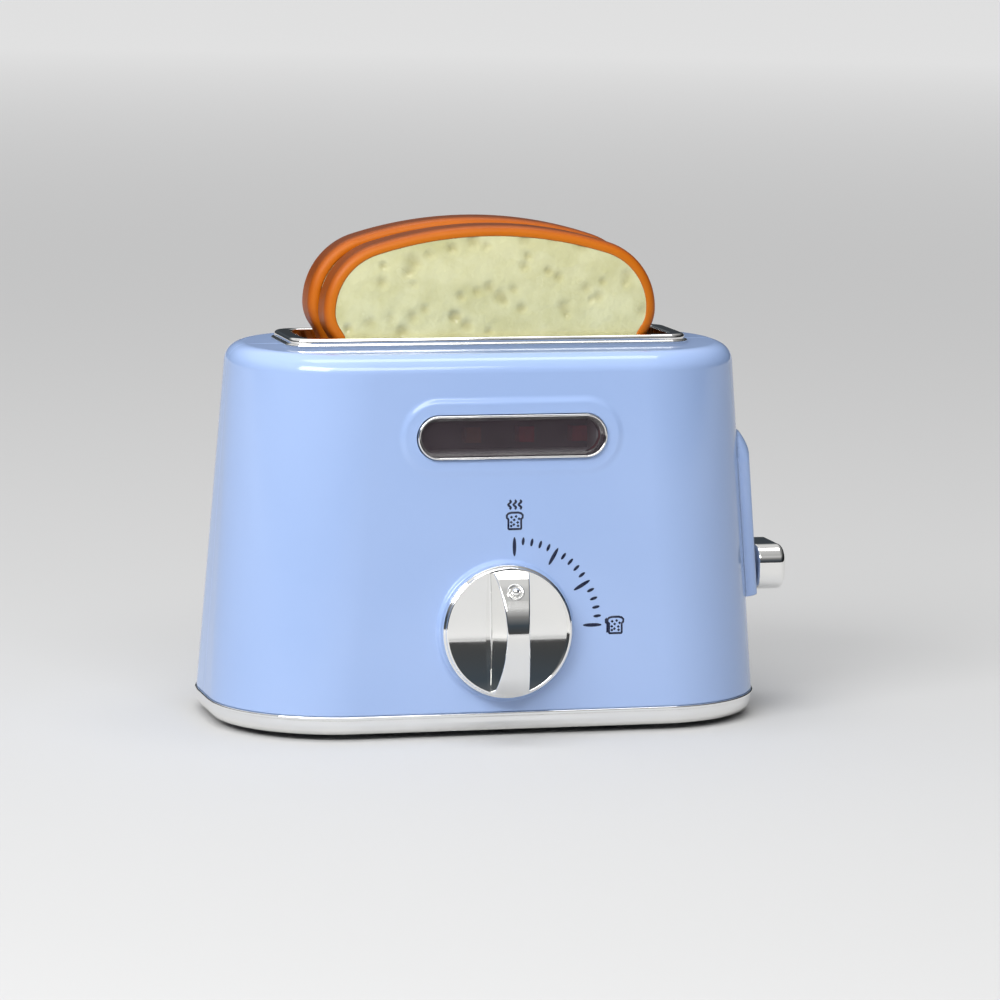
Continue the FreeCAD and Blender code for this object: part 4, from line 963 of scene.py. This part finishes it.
# Painted shade: the cream is darkened in its dimples, the deeper the darker.
pit_shade = put(tree, "ShaderNodeAttribute", attribute_name="tone_and_shade").outputs["Fac"]
pit_shade = shades(tree, pit_shade, (0.05, grey(1.0)), (0.6, paint(234, 231, 222)), (1.0, paint(224, 219, 206)))
shaded = put(tree, "ShaderNodeMix", data_type="RGBA", blend_type="MULTIPLY")
shaded.inputs[0].default_value = 1.0
tree.links.new(cloud, shaded.inputs[6])
tree.links.new(pit_shade, shaded.inputs[7])
tree.links.new(shaded.outputs[2], shader.inputs["Base Color"])
gloss(tree, shader, noise(tree, place, 160.0, 2.0), 0.14, 0.28)
relief(tree, shader, noise(tree, place, 260.0, 2.0), 0.0006, 0.7)

make_slice("front_slice", (0.6, -6.4, 0.0), 5)
make_slice("rear_slice", (-1.5, 6.4, 1.4), 11)

# ---- dial -----------------------------------------------------------------------
# Dark blue ink printed on the housing beside the knob: sixteen ticks from 12 to 3 o'clock, every
# fifth one long, a hot slice of toast over the first and a toasted slice beside the last.

DIAL_AT = (0.6, 32.7)
TOAST_SIZE, HOT_AT, DONE_AT, STEAM_UP = 4.9, (0.1, 31.7), (31.2, -0.2), 35.2


def new_tree(name, **sizes):
    """An empty Geometry Nodes tree with named inputs, and the sockets that they arrive at."""
    tree = bpy.data.node_groups.new(name, "GeometryNodeTree")
    tree.interface.new_socket("Geometry", in_out="INPUT", socket_type="NodeSocketGeometry")
    tree.interface.new_socket("Geometry", in_out="OUTPUT", socket_type="NodeSocketGeometry")
    for size, kind in sizes.items():
        tree.interface.new_socket(size, in_out="INPUT", socket_type="NodeSocket" + kind)
    return tree, put(tree, "NodeGroupInput").outputs


def grow(name, tree, outlines, **sizes):
    """Run a tree on points and edges and keep the mesh that it makes."""
    mesh = bpy.data.meshes.new(name)
    mesh.from_pydata(outlines[0], outlines[1], [])
    made = bpy.data.objects.new(name, mesh)
    bpy.context.scene.collection.objects.link(made)
    maker = made.modifiers.new("maker", "NODES")
    maker.node_group = tree
    sockets = {item.name: item.identifier for item in tree.interface.items_tree if item.in_out == "INPUT"}
    for size, value in sizes.items():
        maker[sockets[size]] = value
    seen = made.evaluated_get(bpy.context.evaluated_depsgraph_get())
    grown = bpy.data.meshes.new_from_object(seen)
    made.modifiers.remove(maker)
    made.data = grown
    return made


def chain(tree, kinds, start):
    """Join nodes in a row; each kind is a node's type and its other sockets and settings."""
    here = start
    for kind, sockets, settings in kinds:
        made = put(tree, kind, sockets, **settings)
        first = next(s for s in made.inputs if s.type == "GEOMETRY")
        tree.links.new(here, first)
        here = next(s for s in made.outputs if s.type == "GEOMETRY")
    return here


def vector(tree, x=0.0, y=0.0, z=0.0):
    return put(tree, "ShaderNodeCombineXYZ", {"X": x, "Y": y, "Z": z}).outputs[0]


def finish_tree(tree, geometry, finish):
    """End a tree: real meshes with their finish."""
    real = chain(tree, [("GeometryNodeRealizeInstances", {}, {}),
                        ("GeometryNodeSetMaterial", {"Material": finish}, {})], geometry)
    end = put(tree, "NodeGroupOutput")
    tree.links.new(real, end.inputs[0])


def join(tree, *parts):
    made = put(tree, "GeometryNodeJoinGeometry")
    for part in parts:
        tree.links.new(part, made.inputs[0])
    return made.outputs[0]


def thin_solid(tree, flat, height):
    """Raise a flat face into a closed thin solid."""
    raised = put(tree, "GeometryNodeExtrudeMesh", {"Mesh": flat, "Offset Scale": height})
    under = put(tree, "GeometryNodeFlipFaces", {"Mesh": flat})
    both = join(tree, raised.outputs["Mesh"], under.outputs["Mesh"])
    return put(tree, "GeometryNodeMergeByDistance", {"Geometry": both, "Distance": 1e-6}).outputs[0]


dial_ink = moulded("dial_ink", paint(18, 25, 52), paint(24, 32, 62), 0.3, 2000.0)

tree, given = new_tree("dial_print", Ticks="Int", Step="Float", Reach="Float", Long="Float", Short="Float",
                       Tick_Width="Float", Line_Width="Float", Ink="Float", Place="Vector", Lean="Vector")
index = put(tree, "GeometryNodeInputIndex").outputs[0]
is_short = maths(tree, "MINIMUM", maths(tree, "MODULO", index, 5.0), 1.0)
length = put(tree, "ShaderNodeMix", {0: is_short, 2: given["Long"], 3: given["Short"]}).outputs[0]
turn = maths(tree, "MULTIPLY", index, given["Step"])
out = maths(tree, "SUBTRACT", given["Reach"], maths(tree, "MULTIPLY", length, 0.5))
place = vector(tree, maths(tree, "MULTIPLY", out, maths(tree, "SINE", turn)),
               maths(tree, "MULTIPLY", out, maths(tree, "COSINE", turn)))
points = put(tree, "GeometryNodePoints", {"Count": given["Ticks"], "Position": place}).outputs[0]
disc = put(tree, "GeometryNodeMeshCircle", {"Vertices": 16, "Radius": 0.5}, fill_type="NGON").outputs[0]
disc = thin_solid(tree, disc, 1.0)
narrow = maths(tree, "MULTIPLY", given["Tick_Width"], 0.8)
width = put(tree, "ShaderNodeMix", {0: is_short, 2: given["Tick_Width"], 3: narrow}).outputs[0]
ticks = put(tree, "GeometryNodeInstanceOnPoints", {
    "Points": points, "Instance": disc, "Rotation": vector(tree, z=maths(tree, "MULTIPLY", turn, -1.0)),
    "Scale": vector(tree, width, length, given["Ink"])}).outputs[0]
line = chain(tree, [("GeometryNodeMeshToCurve", {}, {}),
                    ("GeometryNodeSetCurveNormal", {}, {"mode": "Z_UP"})], given["Geometry"])
nib = put(tree, "GeometryNodeCurvePrimitiveQuadrilateral",
          {"Width": given["Line_Width"], "Height": maths(tree, "MULTIPLY", given["Ink"], 2.0)}).outputs[0]
drawn = put(tree, "GeometryNodeCurveToMesh", {"Curve": line, "Profile Curve": nib, "Fill Caps": True})
print_flat = join(tree, ticks, drawn.outputs[0])
placed = put(tree, "GeometryNodeTransform", {"Geometry": print_flat, "Translation": given["Place"],
                                             "Rotation": given["Lean"]})
finish_tree(tree, placed.outputs[0], dial_ink)


def toast(x, y, size):
    """Outline of a slice of toast: a closed line with a bulging top."""
    right = [(0.0, -0.5), (0.36, -0.5), (0.40, -0.46), (0.40, 0.10), (0.49, 0.18), (0.50, 0.34)]
    right += [(0.40, 0.45), (0.22, 0.5)]
    whole = right + [(-a, b) for a, b in reversed(right[1:])]
    return [(x + a * size, y + b * size) for a, b in whole]


def steam(x, y):
    """One wavy line of steam."""
    return [(x + 0.42 * math.sin(step * math.pi / 4), y + 0.22 * step) for step in range(13)]


def dots(x, y, places):
    """Small squares on their corners, about a place."""
    return [[(x + a + 0.14, y + b), (x + a, y + b + 0.14), (x + a - 0.14, y + b), (x + a, y + b - 0.14)]
            for a, b in places]


CRUMB_DOTS = [(-1.0, 1.1), (0.4, 1.3), (1.3, 0.6), (-0.2, 0.3), (-1.1, -0.4), (0.9, -0.5), (-0.3, -1.1)]
CRUMB_DOTS += [(1.0, -1.5), (-1.1, -1.5)]
closed_lines = [toast(*HOT_AT, TOAST_SIZE), toast(*DONE_AT, TOAST_SIZE)]
closed_lines += dots(*HOT_AT, CRUMB_DOTS) + dots(*DONE_AT, CRUMB_DOTS)
open_lines = [steam(x, STEAM_UP) for x in (-1.5, 0.1, 1.7)]
open_lines.append([(28.7, -2.4), (28.7, 0.2), (28.2, 0.7), (28.2, 1.4), (28.6, 1.9)])
ends, joins = [], []
for lines, is_closed in ((closed_lines, True), (open_lines, False)):
    for points in lines:
        first, count = len(ends), len(points)
        ends += [(x / 1000, y / 1000, 0) for x, y in points]
        joins += [(first + i, first + (i + 1) % count) for i in range(count if is_closed else count - 1)]
dial_place, _ = on_front(*DIAL_AT)
dial = grow("dial_print", tree, (ends, joins), Ticks=16, Step=math.radians(6), Reach=0.0269, Long=0.0058,
            Short=0.0024, Tick_Width=0.0011, Line_Width=0.00064, Ink=0.00004,
            Place=to_row(dial_place), Lean=(math.pi / 2 - math.atan(BODY_LEAN), 0.0, 0.0))
mount(dial, "housing", "black_plastic")

# ---- lever and carriage -----------------------------------------------------------
# A chromed handle pressed on the stem of a white carriage that slides on a steel rod; the bread
# stands on its tray inside the well, whose dark grey is painted shade for the deep slot.

lever_low, lever_high = [(corner - MIDDLE) * 1000 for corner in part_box("lever_handle")]
lever_middle = np.array((lever_low.x, 0.0, (lever_low.z + lever_high.z) / 2))
lever_ways = np.array(((0, 1, 0), (0, 0, 1), (1, 0, 0)))
lever_ring = ring_of(round_rectangle(12), (24.0, 14.0, 5.6))
lever_thick = lever_high.x - lever_low.x
handle = Skin()
dish = lever_thick - 0.6
BACK_IN, DISH_IN = 5.0, 4.5
grip = section([(-BACK_IN, 0.0), (0.0, 0.0, 0.8), (0.0, lever_thick, 1.9), (-1.9, lever_thick, 0.9),
                (-3.0, dish, 2.0), (-DISH_IN, dish)], steps=7)
sweep(handle, lever_ring, grip, (lever_middle, lever_ways))
for inset, at, face_up in ((BACK_IN, 0.0, -1), (DISH_IN, dish, 1)):
    flat = [[((x - nx * inset) * share, (y - ny * inset) * share, at) for x, y, nx, ny in lever_ring]
            for share in (1.0, 0.0)]
    handle.patch(np.array(flat) @ lever_ways + lever_middle,
                 np.tile(face_up * lever_ways[2], (2, len(lever_ring), 1)), closed=True)
handle.piece("lever_grip", bright_trim, "carriage", "bright_trim", "lever_handle")

steel, tree, shader, place = new_finish("steel", 0.25, 1.0)
drawn_out = put(tree, "ShaderNodeMapping", {"Vector": place, "Scale": (1.0, 1.0, 0.05)}).outputs["Vector"]
streaks = noise(tree, drawn_out, 900.0, 3.0)
tone(tree, shader, streaks, (0.3, (0.55, 0.56, 0.58, 1)), (0.7, (0.68, 0.69, 0.70, 1)))
gloss(tree, shader, streaks, 0.18, 0.34)
dress(steel, "guide_rod", "battery_contacts")
dress(white_acetal, "carriage")
# The well's dark grey stands in for the shade deep in the slot: painted shade.
dress(grey_inner, "bread_well")

# ---- bottom ---------------------------------------------------------------------
# A grey plate closes the housing, with the battery door, the loudspeaker behind its grille and the
# power switch; four soft feet stand on the table.

foot_rubber = moulded("foot_rubber", paint(44, 45, 48), paint(52, 53, 56), 0.7, 1200.0)


def pillow(tree, given):
    """A round body closed at both poles; the squarer, the flatter its ends and the tighter its edge."""
    net = put(tree, "GeometryNodeMeshGrid", {"Size X": 2 * math.pi, "Size Y": math.pi, "Vertices X": 41,
                                             "Vertices Y": 25}).outputs[0]
    place = put(tree, "GeometryNodeInputPosition").outputs[0]
    place = put(tree, "ShaderNodeSeparateXYZ", {"Vector": place}).outputs
    round_by = maths(tree, "DIVIDE", 1.0, given["Squareness"])
    out = maths(tree, "POWER", maths(tree, "ABSOLUTE", maths(tree, "COSINE", place["Y"])), round_by)
    out = maths(tree, "MULTIPLY", out, given["Radius"])
    rise = maths(tree, "SINE", place["Y"])
    side = maths(tree, "SIGN", rise)
    rise = maths(tree, "MULTIPLY", maths(tree, "POWER", maths(tree, "ABSOLUTE", rise), round_by), side)
    half_high = maths(tree, "MULTIPLY", given["Height"], 0.5)
    rise = maths(tree, "MULTIPLY", maths(tree, "ADD", rise, 1.0), half_high)
    way = vector(tree, maths(tree, "MULTIPLY", out, maths(tree, "COSINE", place["X"])),
                 maths(tree, "MULTIPLY", out, maths(tree, "SINE", place["X"])), rise)
    return chain(tree, [("GeometryNodeSetPosition", {"Position": way}, {}),
                        ("GeometryNodeMergeByDistance", {"Distance": 1e-6}, {}),
                        ("GeometryNodeSetShadeSmooth", {}, {})], net)


tree, given = new_tree("feet", Radius="Float", Height="Float", Squareness="Float")
feet = put(tree, "GeometryNodeInstanceOnPoints", {"Points": given["Geometry"],
                                                  "Instance": pillow(tree, given)})
finish_tree(tree, feet.outputs[0], foot_rubber)
feet_at = [to_row((61.0 * x, 21.0 * y, 0.0)) for x in (-1, 1) for y in (-1, 1)]
feet = grow("soft_feet", tree, (feet_at, []), Radius=0.0065, Height=0.0026, Squareness=3.2)
mount(feet, "housing", "foot_rubber", "rubber_feet")

tree, given = new_tree("screws", Radius="Float", Height="Float", Squareness="Float", Cross="Float",
                       Slot="Float", Depth="Float", Shank="Float", Length="Float")
arms = [put(tree, "GeometryNodeMeshCube", {"Size": vector(tree, *size, given["Depth"])}).outputs[0]
        for size in ((given["Cross"], given["Slot"]), (given["Slot"], given["Cross"]))]
head = put(tree, "GeometryNodeMeshBoolean", {"Mesh 1": pillow(tree, given)}, operation="DIFFERENCE")
for arm in arms:
    tree.links.new(arm, head.inputs["Mesh 2"])
shank = put(tree, "GeometryNodeMeshCylinder", {"Vertices": 20, "Radius": given["Shank"],
                                               "Depth": given["Length"]})
half_long = maths(tree, "MULTIPLY", given["Length"], 0.49)
middle = vector(tree, z=maths(tree, "ADD", given["Height"], half_long))
shank = put(tree, "GeometryNodeTransform", {"Geometry": shank.outputs[0], "Translation": middle})
screw = join(tree, head.outputs[0], shank.outputs[0])
screws = put(tree, "GeometryNodeInstanceOnPoints", {"Points": given["Geometry"], "Instance": screw})
finish_tree(tree, screws.outputs[0], steel)
HEAD_LOW = 1.15
screws_at = [to_row((46.0 * x, 31.5 * y, HEAD_LOW)) for x in (-1, 1) for y in (-1, 1)]
screws_at.append(to_row((13.05, 10.0, HEAD_LOW)))
screws = grow("plate_screws", tree, (screws_at, []), Radius=0.0026, Height=0.00145, Squareness=1.7,
              Cross=0.0028, Slot=0.0006, Depth=0.0014, Shank=0.00105, Length=0.007)
mount(screws, "housing", "steel")

dress(grey_inner, "bottom_plate", "battery_door")
dress(black_plastic, "loudspeaker", "switch_case", "switch_slider")
